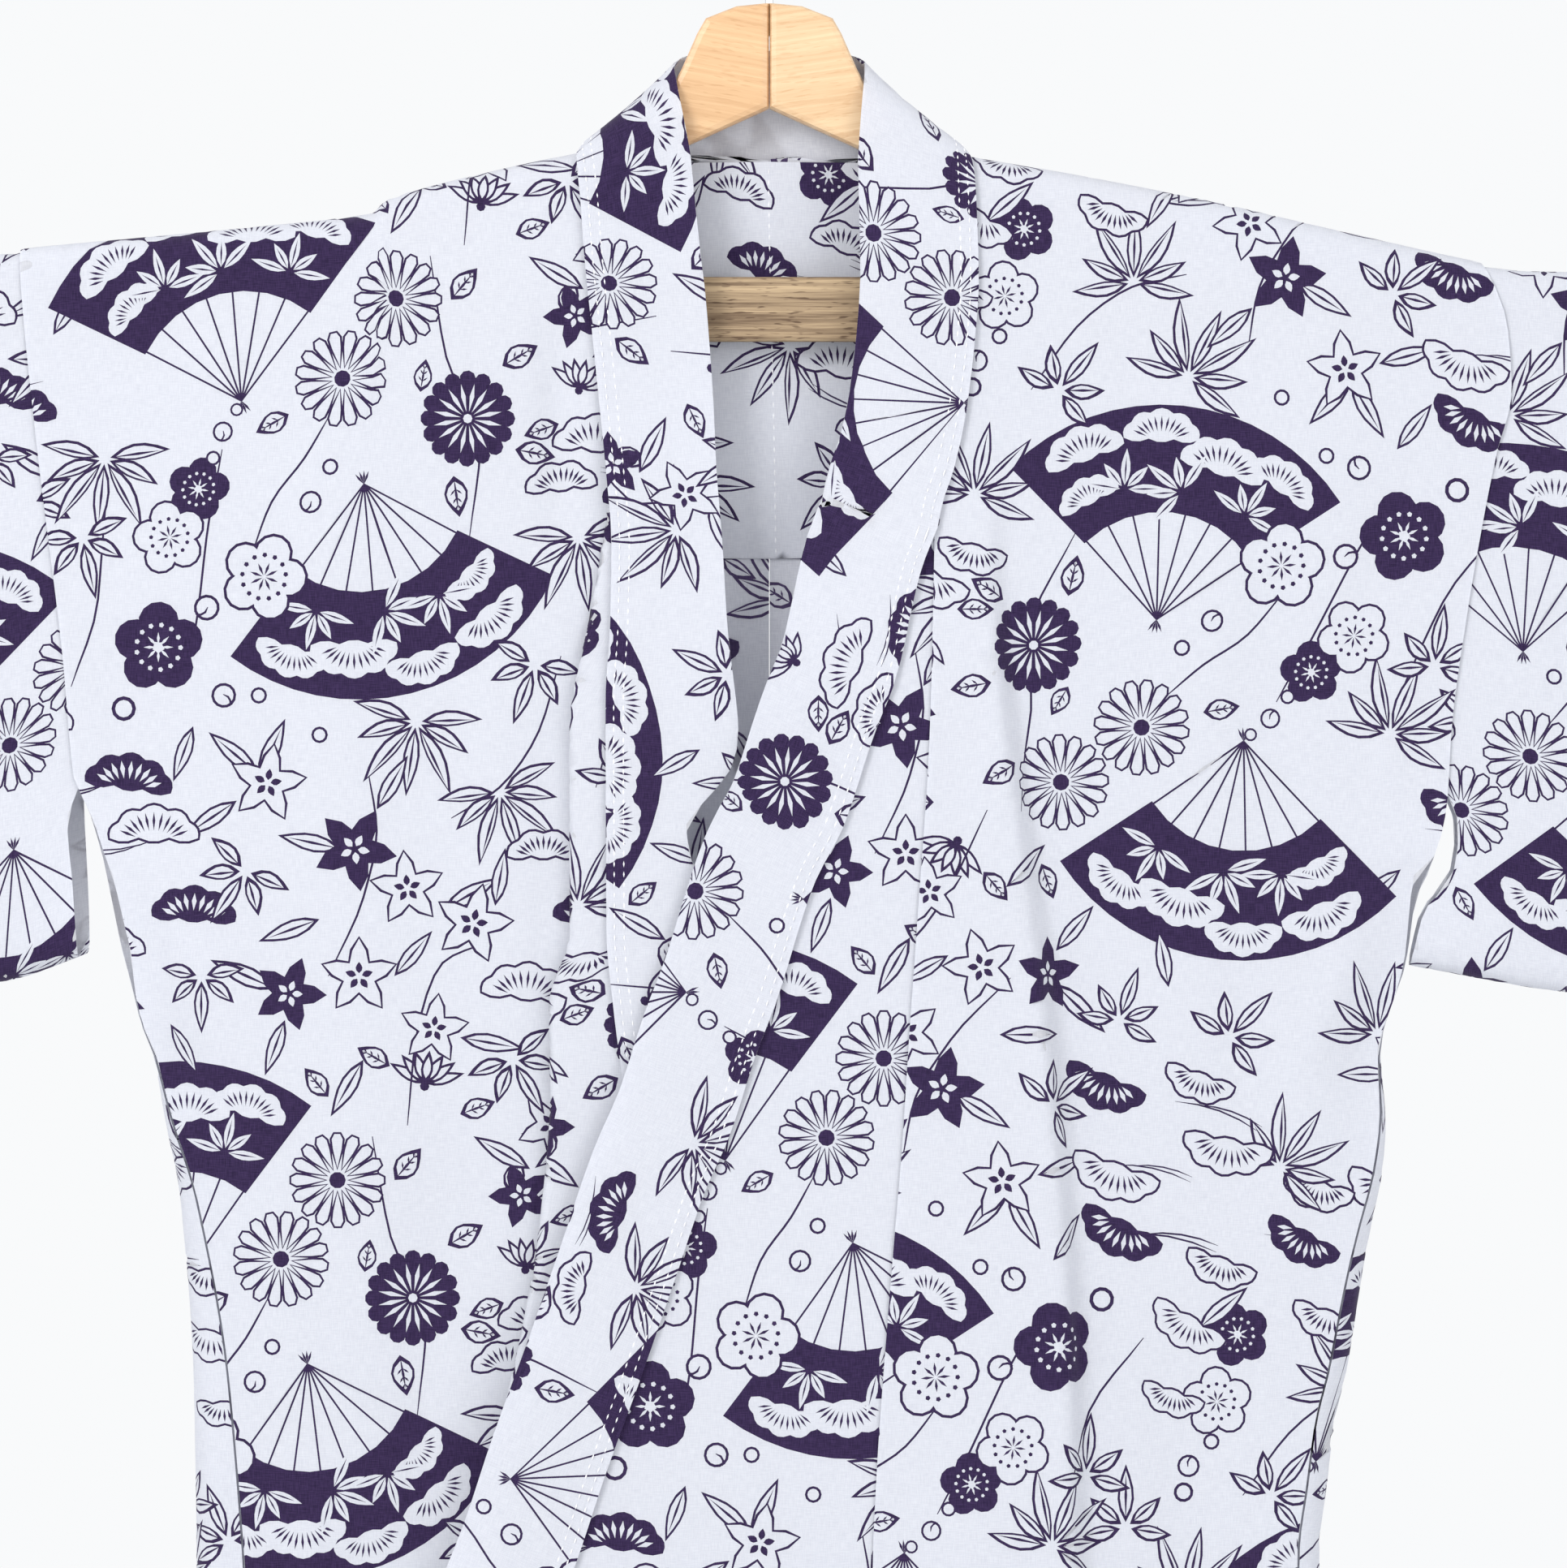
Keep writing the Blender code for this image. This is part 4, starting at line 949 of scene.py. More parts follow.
def plum(radius=17.0, dark=False):
    """A five-petalled plum blossom with its stamens."""
    parts = []
    away, petal = 0.56 * radius, 0.46 * radius
    for layer in (0, 1):
        for i in range(5):
            x, y = turn_to((0.0, -away), 72 * i)[0]
            if layer == 0:
                parts += disc(x, y, petal, INK, 13)
            elif not dark:
                parts += disc(x, y, petal - LINE, PAPER, 13)
    if not dark:
        parts += disc(0, 0, 0.42 * radius, PAPER, 8)
    tone = PAPER if dark else INK
    for i in range(13):
        x, y = turn_to((0.0, -0.50 * radius), 360 / 13 * i + 8)[0]
        parts += disc(x, y, 0.06 * radius, tone, 5)
    for i in range(8):
        reach = turn_to((0.0, -0.34 * radius), 45 * i)[0]
        parts += stroke(0.1 * reach, reach, LINE, tone)
    return parts


def bud(radius=5.2):
    return ring(0, 0, radius) + line(bow((0.0, radius), (0.0, -0.1 * radius), 0.25, 4), INK, 0.8 * LINE)


def berry(radius=3.8):
    return ring(0, 0, radius, 12)


def chrysanthemum(radius=20.0, petals=16, dark=False):
    """A round chrysanthemum of narrow petals."""
    parts = []
    if dark:
        parts += disc(0, 0, 0.86 * radius, INK, 24)
    wide = 2 * math.pi * radius * 0.80 / petals
    for i in range(petals):
        turn = 360 / petals * i
        outer = turn_to(((0.0, -0.84 * radius),), turn)[0]
        if dark:
            parts += disc(outer[0], outer[1], 0.56 * wide, INK, 9)
            continue
        body = np.array(((0.0, -0.2 * radius), (-0.42 * wide, -0.62 * radius),
                         (-0.50 * wide, -0.84 * radius), (-0.26 * wide, -0.98 * radius),
                         (0.26 * wide, -0.98 * radius), (0.50 * wide, -0.84 * radius),
                         (0.42 * wide, -0.62 * radius)))
        parts += outlined(turn_to(body, turn), turn_to((0.0, -0.6 * radius), turn)[0],
                          line_width=0.8 * LINE)
    if dark:
        for i in range(petals):
            reach = turn_to((0.0, -0.74 * radius), 360 / petals * (i + 0.5))[0]
            parts += stroke(0.2 * reach, reach, 1.7 * LINE, PAPER)
        parts += disc(0, 0, 0.10 * radius, PAPER, 8)
    else:
        parts += disc(0, 0, 0.17 * radius, INK, 10)
    return parts


def half_chrysanthemum(radius=17.0):
    """A chrysanthemum seen from the side, opening upwards."""
    parts = []
    for angle in (-62, 62, -40, 40, -20, 20, 0):
        tip = turn_to((0.0, -radius), angle)[0] * (1.15, 0.9)
        parts += leaf((0.0, 0.0), tip, 5.6, rib=False)
    return parts + disc(0, 1.2, 2.2, INK, 8)


def bellflower(radius=17.0, dark=False):
    """A five-pointed bellflower with teardrops round its middle."""
    points = []
    for i in range(5):
        for reach, lean in ((1.0, 0.0), (0.70, 19.0), (0.46, 36.0), (0.70, 53.0)):
            points.append(turn_to((0.0, -reach * radius), 72 * i + lean)[0])
    parts = outlined(np.array(points), (0.0, 0.0), dark)
    tone = PAPER if dark else INK
    for i in range(5):
        reach = turn_to((0.0, -0.34 * radius), 72 * i)[0]
        parts.append((lens(0.22 * reach, 1.05 * reach, 0.17 * radius, 4), tone))
    return parts


def veined_leaf(length=19.0, wide=11.0):
    """A broad leaf in outline with side veins."""
    parts = leaf((0.0, 0.0), (0.0, -length), wide)
    for share in (0.32, 0.52, 0.70):
        for side in (-1, 1):
            end = (side * 0.30 * wide * (1.15 - share), -length * (share + 0.14))
            parts += stroke((0.0, -length * share), end, 0.8 * LINE)
    return parts


def moved(parts, at, angle=0.0, size=1.0):
    return [(turn_to(points * size, angle, at), kind) for points, kind in parts]


def stem(*points):
    """A thin smooth stem through a few points."""
    points = np.array(points, float)
    knots = np.arange(len(points), dtype=float)
    fine = np.linspace(0, len(points) - 1, 4 * (len(points) - 1) + 1)
    path = np.column_stack([smooth(fine, knots, points[:, i]) for i in range(2)])
    return line(path, INK, 0.9 * LINE, 0.4)


FAN_REACH, FAN_FOOT, FAN_HALF = 100.0, 50.0, 51.0


def fan(ribs=8, spray=0):
    """An open folding fan whose leaf is up from its rivet, with pines and bamboo on the leaf."""
    outer = np.radians(np.linspace(-FAN_HALF, FAN_HALF, 17))
    inner = outer[::-2]
    leaf_shape = np.vstack((np.column_stack((np.sin(outer), -np.cos(outer))) * FAN_REACH,
                            np.column_stack((np.sin(inner), -np.cos(inner))) * FAN_FOOT))
    parts = []
    for i in range(ribs):
        angle = lerp(-FAN_HALF + 1.5, FAN_HALF - 1.5, i / (ribs - 1))
        end = turn_to((0.0, -FAN_FOOT - 1), angle)[0]
        parts += rod((0.0, 0.0), end, 0.75 * LINE)
    for angle in (-150, -170, 170, 150):
        parts += stroke((0.0, 0.0), turn_to((0.0, -6.5), angle)[0], LINE)
    parts.append((leaf_shape, INK))
    on_leaf = (
        ("pine", -31, 83, -27, 0.90), ("pine", -6, 84, -4, 0.84), ("pine", 36, 82, 31, 0.82),
        ("pine", 16, 74, 12, 0.95), ("pine", -37, 64, -34, 0.70),
        ("bamboo", 3, 60, 150 - 30 * spray, 0.86), ("bamboo", -22, 63, -160, 0.80),
        ("bamboo", 33, 62, 175, 0.78),
    )
    for what, angle, reach, lean, size in on_leaf:
        at = turn_to((0.0, -reach), angle)[0]
        made = pine(white=True) if what == "pine" else reversed_bamboo()
        parts += moved(made, at, lean + (0 if what == "pine" else angle), size)
    return parts


# One repeat of the print. Places are mm from the upper fan's rivet; angles turn a motif clockwise

REPEAT_DOWN = (24.0, -401.0)
REPEAT_ACROSS = (292.0, 38.0)


def one_repeat():
    made = {
        "fan": fan(), "other fan": fan(spray=1), "bamboo": bamboo(), "small bamboo": bamboo(5, 29.0),
        "pine": pine(), "dark pine": pine(dark=True), "small pine": pine(17.0, 12.0, 4),
        "mist": mist(), "plum": plum(), "dark plum": plum(dark=True), "bud": bud(), "berry": berry(),
        "chrysanthemum": chrysanthemum(), "dark chrysanthemum": chrysanthemum(dark=True),
        "half chrysanthemum": half_chrysanthemum(), "bellflower": bellflower(),
        "dark bellflower": bellflower(dark=True), "leaf": leaf((0, 0), (0, -30), 8.5),
        "veined": veined_leaf(),
    }
    parts = []
    stems = (
        ((108, 62), (112, 20), (96, -20), (88, -66)),
        ((-8, 22), (-12, 52), (-16, 96), (-22, 128)),
        ((40, 8), (30, 26), (16, 46), (8, 70)),
        ((44, 262), (60, 226), (66, 196), (62, 168)),
        ((118, 246), (96, 256), (84, 290), (80, 330)),
        ((150, 116), (140, 150), (122, 176), (100, 190)),
        ((-60, 44), (-62, 90), (-74, 130)),
        ((146, 310), (150, 350), (128, 372)),
    )
    for points in stems:
        parts += stem(*points)
    layout = (
        ("mist", -92, 178, -6, 1.0), ("mist", -92, 236, 4, 0.9), ("mist", 118, 262, 0, 0.9),
        ("mist", -70, 204, -4, 0.8), ("mist", 150, 232, 2, 0.7),
        ("fan", 0, 0, -14, 1.0), ("other fan", 58, 38, 166, 0.98),
        ("veined", 98, -46, 40, 1.0), ("veined", 68, -84, -40, 0.9),
        ("veined", 22, 6, -120, 0.9), ("veined", 128, 22, 100, 1.0), ("veined", 122, -16, 60, 1.0),
        ("veined", 100, 34, 170, 1.0), ("veined", 84, -4, 10, 0.8),
        ("chrysanthemum", 72, -46, 0, 1.12), ("chrysanthemum", 46, -10, 9, 1.12),
        ("dark chrysanthemum", 106, 8, 0, 1.08), ("half chrysanthemum", 112, -90, 8, 1.0),
        ("veined", 96, -98, -60, 0.9), ("veined", 128, -76, 70, 0.9),
        ("bamboo", -62, 26, 2, 1.0), ("small bamboo", -70, 62, -14, 1.0),
        ("bamboo", 84, 146, 8, 1.0), ("bamboo", 122, 178, -18, 0.95),
        ("small bamboo", 138, 120, 20, 1.0), ("bamboo", 158, 62, -8, 1.0),
        ("dark plum", -18, 40, 10, 0.84), ("plum", -30, 62, -14, 1.0), ("plum", 14, 80, 20, 1.18),
        ("dark plum", -34, 112, 0, 1.20), ("bud", -8, 14, 20, 0.9), ("berry", -2, 4, 0, 0.8),
        ("bud", -12, 94, 60, 1.15), ("bud", 34, 46, 40, 1.0), ("berry", 42, 30, 0, 1.0),
        ("berry", -50, 140, 0, 1.5), ("berry", -12, 26, 0, 0.9), ("bud", -4, 134, -30, 1.1),
        ("leaf", 12, 170, -50, 1.0), ("leaf", 12, 172, 24, 1.0), ("leaf", 2, 182, 236, 1.0),
        ("leaf", 50, 204, -78, 1.0), ("leaf", 66, 186, 30, 0.95), ("leaf", 96, 232, 60, 1.0),
        ("leaf", 40, 236, -110, 1.0), ("leaf", 20, 268, -66, 1.1), ("leaf", 24, 282, 200, 0.9),
        ("leaf", 104, 290, 100, 1.0), ("leaf", 74, 262, 40, 0.9), ("leaf", 60, 300, 210, 1.0),
        ("leaf", 120, 230, 10, 0.9), ("leaf", 150, 320, 70, 0.9), ("leaf", 136, 350, -60, 1.0),
        ("bellflower", 16, 174, 10, 1.1), ("dark bellflower", 56, 204, 28, 1.15),
        ("bellflower", 80, 222, -6, 1.05), ("bellflower", 110, 238, 14, 1.12),
        ("bellflower", 58, 262, 0, 1.08), ("dark bellflower", 26, 270, 20, 1.02),
        ("bellflower", 92, 286, 8, 0.98), ("bellflower", 146, 330, 30, 1.0),
        ("dark pine", -48, 176, 8, 0.95), ("pine", -36, 200, 0, 1.0), ("dark pine", -18, 236, 4, 0.92),
        ("pine", -80, 228, -8, 1.0), ("small pine", -58, 252, 0, 1.0), ("pine", 134, 272, 6, 1.0),
        ("small pine", 166, 262, -4, 1.0), ("dark pine", 164, 238, 10, 0.86),
        ("small pine", 142, 208, 0, 1.0), ("pine", -92, 146, 12, 0.9), ("berry", 176, 108, 0, 1.2),
        ("dark bellflower", 132, 362, -20, 0.9), ("leaf", -30, 284, 150, 0.9),
        ("small bamboo", -64, 272, 24, 1.0), ("bud", 178, 120, 10, 1.0), ("berry", 172, 134, 0, 1.0),
        ("plum", 176, 152, 12, 0.95), ("dark plum", 178, 184, 0, 0.86),
        ("mist", 150, 12, -4, 0.8), ("pine", 166, 22, 4, 1.0), ("dark pine", 188, 46, 0, 0.9),
        ("small pine", 150, 40, -6, 1.0), ("small bamboo", 196, 84, -20, 1.0),
        ("mist", 168, 30, 2, 0.7), ("bamboo", 186, -66, -8, 1.0), ("leaf", 164, -20, 60, 1.0),
        ("half chrysanthemum", 158, -6, 14, 0.9), ("small bamboo", 6, 214, 34, 1.0),
        ("bamboo", 186, 262, 16, 0.95), ("small bamboo", 128, 300, -30, 1.0),
        ("berry", 12, 134, 0, 1.0), ("leaf", -18, 148, 200, 0.9),
        ("small pine", 196, 214, 0, 1.0), ("leaf", 204, 8, 30, 0.9), ("small bamboo", -14, 262, 0, 0.9),
        ("berry", 40, 152, 0, 1.0), ("veined", 150, -40, 20, 0.9), ("veined", 148, 10, 250, 0.9),
        ("small pine", -96, 112, 0, 0.9), ("leaf", 196, 180, 210, 1.0),
    )
    for name, x, y, angle, size in layout:
        parts += moved(made[name], (x, y), angle, size)
    return parts


REPEAT = one_repeat()


def printed(cloth, at, angle=0.0):
    """The repeat laid over a whole cloth, with a rivet of the upper fan at a flat place."""
    edge = cloth.outline(30.0)
    low, high = edge.min(0) - 5, edge.max(0) + 5
    down = turn_to(REPEAT_DOWN, angle)[0]
    across = turn_to(REPEAT_ACROSS, angle)[0]
    base = [(turn_to(points, angle, at), kind) for points, kind in REPEAT]
    lows = np.array([points.min(0) for points, _ in base])
    highs = np.array([points.max(0) for points, _ in base])
    shapes = []
    for i in range(-9, 10):
        for j in range(-9, 10):
            shift = i * down + j * across
            if ((highs.max(0) + shift < low) | (lows.min(0) + shift > high)).any():
                continue
            touch = ((highs + shift > low) & (lows + shift < high)).all(axis=1)
            shapes += [(base[n][0] + shift, base[n][1]) for n in np.flatnonzero(touch)]
    return shapes


# The cloth pieces as flat sheets

BODY_RISE = 126.3
TURN_ARC = ROLL * math.pi / 2
BACK_FADE = 700.0


def shoulder_lean(side):
    """How far the body's rows lean with the shoulder, so that print and grain hang upright."""
    def lean(s, row):
        tilt = ridge(np.minimum(np.abs(s), 345), side) - ROLL - SHOULDER_LEVEL
        front = 1 - step((row - BODY_RISE - TURN_ARC) / LEVEL_FADE)
        back = 1 - step((BODY_RISE - TURN_ARC - row) / BACK_FADE)
        return tilt * np.where(row > BODY_RISE, front, back)
    return lean


def facing(cloth, row, col, toward):
    """Turns the cloth's normals so that the printed side faces a direction at one place."""
    if cloth.normal[row, col] @ np.array(toward, float) < 0:
        cloth.normal = -cloth.normal
    return cloth


def body_cloth(side):
    """A body length laid out from the back hem to the front hem."""
    length = BODY_RISE - HEM_Z - 2 * BODY_RISE
    fall = np.concatenate((np.linspace(0, TURN_ARC, 9), np.arange(20, 760, 5.0),
                           np.linspace(765, length, 45)))
    across = np.linspace(0, 1, 220)
    down, across = np.meshgrid(fall, across, indexing="ij")
    front = body_point(side, FRONT, across, down)
    back = body_point(side, BACK, across, down)
    points = [np.vstack((b[::-1], f[1:])) for b, f in zip(back, front)]
    t = np.concatenate((BODY_RISE - fall[::-1], BODY_RISE + fall[1:]))
    start = side * np.abs(points[0][:, 0])
    cloth = Cloth(points, t, start, side, 150, shoulder_lean(side), BODY_CREASES[side])
    return facing(cloth, -1, 5, (0, -1, 0))


def overlap_levels(side):
    """Heights of the rows of an overlap, close together above and wider apart below."""
    return np.concatenate((np.arange(OVERLAP_TOP[side], -820, -5.0),
                           np.linspace(-830, HEM_Z, 40)))


def over_overlap_cloth():
    z = overlap_levels(LEFT)
    across, _ = np.meshgrid(np.linspace(0, 1, 120), z)
    points = over_overlap_point(across, z[:, None])
    return facing(Cloth(points, -z, points[0][:, 0], 1, 80), -1, 5, (0, -1, 0))


def under_overlap_cloth():
    z = overlap_levels(RIGHT)
    along = np.concatenate((np.linspace(0, 1, 40)[:-1], np.linspace(1, 2, 25)[:-1],
                            np.linspace(2, 3, 80)))
    along, _ = np.meshgrid(along, z)
    points = under_overlap_point(along, z[:, None])
    return facing(Cloth(points, -z, np.abs(points[0][:, 0]), 1, 140), -1, -5, (0, -1, 0))


def collar_cloth():
    """The collar strip: t runs along it from the over front's end, s across from the seam."""
    levels = np.concatenate((np.arange(-148, -480, -4.0), np.linspace(-480, COLLAR_END_Z, 80)[1:]))
    halves = []
    for side in (LEFT, RIGHT):
        neck = neck_stations(side, np.linspace(0, 6, 61))
        down = front_stations(side, levels)
        halves.append([[np.concatenate(pair) for pair in zip(neck[e], down[e])] for e in (0, 1)])
    seam, free = ([np.concatenate((left[::-1], right[1:])) for left, right in
                   zip(halves[0][e], halves[1][e])] for e in (0, 1))
    across = np.linspace(0, 1, 30)[None, :]
    points = [lerp(s[:, None], f[:, None], across) for s, f in zip(seam, free)]
    middle = np.column_stack([part[:, 15] for part in points])
    t = np.concatenate(((0.0,), np.cumsum(np.linalg.norm(np.diff(middle, axis=0), axis=1))))
    return facing(Cloth(points, t, np.zeros(len(t)), 1, 24), 0, 5, (0, -1, 0))


def sleeve_cloth(side):
    """A sleeve laid out from its bottom fold up the back, over the top and down the front."""
    ring = np.concatenate((np.linspace(2.5, 3, 6)[:-1], np.linspace(3, 4, 50)[:-1],
                           np.linspace(0, 1, 10)[:-1], np.linspace(1, 2, 50)[:-1],
                           np.linspace(2, 2.5, 6)))
    ring, along = np.meshgrid(ring, np.linspace(0, 1, 90), indexing="ij")
    points = sleeve_point(side, ring, along)
    middle = np.stack(points, axis=-1)[:, 45]
    arc = np.concatenate(((0.0,), np.cumsum(np.linalg.norm(np.diff(middle, axis=0), axis=1))))
    top = arc[np.argmax(middle[:, 2])]
    cloth = Cloth(points, arc - top - middle[:, 2].max(), points[0][:, 0], side, 90,
                  creases=SLEEVE_CREASES[side])
    return facing(cloth, -20, 45, (0, -1, 0))


def lining_cloth():
    fall = np.linspace(LINING_DROP, LINING_LONG, 60)
    x, fall_grid = np.meshgrid(np.linspace(-LINING_X, LINING_X, 100), fall)
    points = lining_point(x, fall_grid)
    return facing(Cloth(points, -SHOULDER_LEVEL + fall, -LINING_X, 1, 100), 30, 50, (0, -1, 0))


# Materials

def new_material(name):
    material = bpy.data.materials.new(name)
    material.use_nodes = True
    nodes = material.node_tree.nodes
    return material, nodes, material.node_tree.links, nodes["Principled BSDF"]


def node(nodes, kind, **settings):
    made = nodes.new(kind)
    for name, value in settings.items():
        if name in made.inputs.keys():
            made.inputs[name].default_value = value
        else:
            setattr(made, name, value)
    return made


def stretched_noise(nodes, links, source, scale, detail, roughness):
    """Noise that is drawn out along the axes of smaller scale."""
    mapping = node(nodes, "ShaderNodeMapping")
    mapping.inputs["Scale"].default_value = scale
    links.new(source, mapping.inputs["Vector"])
    noise = node(nodes, "ShaderNodeTexNoise", Scale=1.0, Detail=detail, Roughness=roughness)
    links.new(mapping.outputs["Vector"], noise.inputs["Vector"])
    return noise.outputs["Fac"]


LET_THROUGH = 0.38
THREAD_FINE, THREAD_LONG = 2600.0, 190.0
FLECKS = (130.0, 700.0, 900.0)


def cotton(name, light, dark, roughness=0.9, sheen=0.15):
    """Plain-weave cotton: slubby threads both ways, drawn on the cloth's own flat places."""
    material, nodes, links, shader = new_material(name)
    place = node(nodes, "ShaderNodeTexCoord")
    weave = node(nodes, "ShaderNodeMath", operation="ADD")
    for i, scale in enumerate(((THREAD_FINE, THREAD_LONG, 1.0), (THREAD_LONG, THREAD_FINE, 1.0))):
        threads = stretched_noise(nodes, links, place.outputs["UV"], scale, 1.0, 0.55)
        links.new(threads, weave.inputs[i])
    tone = node(nodes, "ShaderNodeMapRange")
    for socket, value in (("From Min", 0.75), ("From Max", 1.25)):
        tone.inputs[socket].default_value = value
    links.new(weave.outputs["Value"], tone.inputs["Value"])
    colour = node(nodes, "ShaderNodeMix", data_type="RGBA")
    colour.inputs[6].default_value = (*dark, 1)
    colour.inputs[7].default_value = (*light, 1)
    links.new(tone.outputs["Result"], colour.inputs[0])
    links.new(colour.outputs[2], shader.inputs["Base Color"])
    bump = node(nodes, "ShaderNodeBump", Strength=0.22, Distance=0.00025)
    links.new(weave.outputs["Value"], bump.inputs["Height"])
    links.new(bump.outputs["Normal"], shader.inputs["Normal"])
    behind = node(nodes, "ShaderNodeBsdfTranslucent")
    links.new(colour.outputs[2], behind.inputs["Color"])
    through = node(nodes, "ShaderNodeMixShader")
    through.inputs[0].default_value = LET_THROUGH
    links.new(shader.outputs[0], through.inputs[1])
    links.new(behind.outputs[0], through.inputs[2])
    links.new(through.outputs[0], nodes["Material Output"].inputs["Surface"])
    shader.inputs["Roughness"].default_value = roughness
    shader.inputs["Sheen Weight"].default_value = sheen
    shader.inputs["Specular IOR Level"].default_value = 0.2
    return material


def wood(name, light, dark, grain, tilt, roughness, spread=0.6, streak=0.3, fleck=0.0):
    """Long grain with fine streaks, a slow change of tone and short dark flecks."""
    material, nodes, links, shader = new_material(name)
    place = node(nodes, "ShaderNodeTexCoord")
    turn = node(nodes, "ShaderNodeMapping")
    turn.inputs["Rotation"].default_value = (0, math.radians(tilt), 0)
    links.new(place.outputs["Object"], turn.inputs["Vector"])
    fine = tuple(6 * g for g in grain)
    slow = tuple(0.25 * g for g in grain)
    layers = [stretched_noise(nodes, links, turn.outputs["Vector"], scale, detail, 0.6)
              for scale, detail in ((grain, 4.0), (fine, 3.0), (slow, 2.0), (FLECKS, 1.0))]
    streaked = node(nodes, "ShaderNodeMix", data_type="FLOAT")
    streaked.inputs[0].default_value = streak
    links.new(layers[0], streaked.inputs[2])
    links.new(layers[1], streaked.inputs[3])
    toned = node(nodes, "ShaderNodeMix", data_type="FLOAT")
    toned.inputs[0].default_value = 0.22
    links.new(streaked.outputs[0], toned.inputs[2])
    links.new(layers[2], toned.inputs[3])
    flecked = node(nodes, "ShaderNodeMapRange")
    for socket, value in (("From Min", 0.60), ("From Max", 0.70), ("To Min", 0.0), ("To Max", fleck)):
        flecked.inputs[socket].default_value = value
    links.new(layers[3], flecked.inputs["Value"])
    darker = node(nodes, "ShaderNodeMath", operation="SUBTRACT")
    links.new(toned.outputs[0], darker.inputs[0])
    links.new(flecked.outputs["Result"], darker.inputs[1])
    ramp = node(nodes, "ShaderNodeValToRGB")
    low, high = ramp.color_ramp.elements
    low.position, high.position = 0.5 - 0.25 * spread, 0.5 + 0.25 * spread
    low.color, high.color = (*dark, 1), (*light, 1)
    links.new(darker.outputs[0], ramp.inputs["Fac"])
    links.new(ramp.outputs["Color"], shader.inputs["Base Color"])
    bump = node(nodes, "ShaderNodeBump", Strength=0.15, Distance=0.0004)
    links.new(streaked.outputs[0], bump.inputs["Height"])
    links.new(bump.outputs["Normal"], shader.inputs["Normal"])
    shader.inputs["Roughness"].default_value = roughness
    return material


COTTON = cotton("cotton_white", (0.86, 0.875, 0.93), (0.77, 0.785, 0.85))
INKED = cotton("cotton_ink", (0.062, 0.036, 0.115), (0.030, 0.017, 0.062))
# The wrong side's white is a darker grey than the face: painted shade of the robe's inside. The wrong
# side's lighter ink is the print seen through the cloth.
WRONG_SIDE_PAINTED_SHADE = cotton("cotton_wrong_side", (0.76, 0.765, 0.80), (0.66, 0.665, 0.71))
WRONG_INK = cotton("cotton_ink_wrong_side", (0.115, 0.080, 0.180), (0.070, 0.046, 0.120))
BEECH_LEFT = wood("beech_left", (0.78, 0.57, 0.35), (0.62, 0.39, 0.21), (10, 60, 420), 8, 0.42,
                  fleck=0.12)
BEECH_RIGHT = wood("beech_right", (0.76, 0.50, 0.28), (0.58, 0.34, 0.17), (10, 60, 420), -10, 0.42,
                   fleck=0.12)
SLAT_WOOD = wood("slat_wood", (0.52, 0.38, 0.23), (0.12, 0.072, 0.042), (6, 60, 330), 0, 0.85,
                 spread=0.42, streak=0.4, fleck=0.10)
THREAD, _, _, thread_shader = new_material("white_thread")
thread_shader.inputs["Base Color"].default_value = (0.90, 0.90, 0.93, 1)
thread_shader.inputs["Roughness"].default_value = 0.8
STEEL, _, _, steel_shader = new_material("hook_steel")
steel_shader.inputs["Base Color"].default_value = (0.72, 0.72, 0.73, 1)
steel_shader.inputs["Metallic"].default_value = 1.0
steel_shader.inputs["Roughness"].default_value = 0.28


# Pieces

# Slots 2 and 3 are the wrong side; its grey white is painted shade
CLOTH_SLOTS = (COTTON, INKED, WRONG_SIDE_PAINTED_SHADE, WRONG_INK)


def part_of(shapes, low, high):
    """The print inside a box of the flat cloth, for the parts of the wrong side that show."""
    return [(p, kind) for p, kind in shapes if (p.min(0) > low).all() and (p.max(0) < high).all()]


STITCH, STITCH_GAP = 3.0, 1.9
STITCH_WIDTH, STITCH_HEIGHT = 0.75, 0.32


def running_stitches(name, cloth, lines, thick):
    """Short white threads that lie on the printed face, end to end along lines of the cloth.

    A line is its first and last row, and its distance from the row's start.
    """
    starts, ends = [], []
    for first, last, offset in lines:
        rows = np.arange(first, last - STITCH, STITCH + STITCH_GAP)
        for found, shift in ((starts, 0.0), (ends, STITCH)):
            share = offset / np.interp(rows + shift, cloth.t, cloth.width)
            found.append(np.column_stack(cloth.flat(rows + shift, share)))
    starts, ends = np.vstack(starts), np.vstack(ends)
    low, normal, _ = cloth.place(starts[:, 0], starts[:, 1])
    high, _, _ = cloth.place(ends[:, 0], ends[:, 1])
    low, high = low + 0.5 * thick * normal, high + 0.5 * thick * normal
    along = high - low
    aside = np.cross(normal, along)
    aside *= 0.5 * STITCH_WIDTH / np.linalg.norm(aside, axis=1, keepdims=True)
    middle = 0.5 * (low + high)
    corners = (low, middle + aside, high, middle - aside, middle + STITCH_HEIGHT * normal)
    points = np.stack(corners, axis=1).reshape(-1, 3) * MM
    sides = np.array(((0, 1, 4), (1, 2, 4), (2, 3, 4), (3, 0, 4), (0, 2, 1), (0, 3, 2)))
    faces = (np.arange(len(low))[:, None, None] * 5 + sides).reshape(-1, 3)
    mesh = bpy.data.meshes.new(name)
    mesh.from_pydata(points.tolist(), [], faces.tolist())
    mesh.materials.append(THREAD)
    piece = added(name, mesh)
    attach(piece, "root")
    return piece


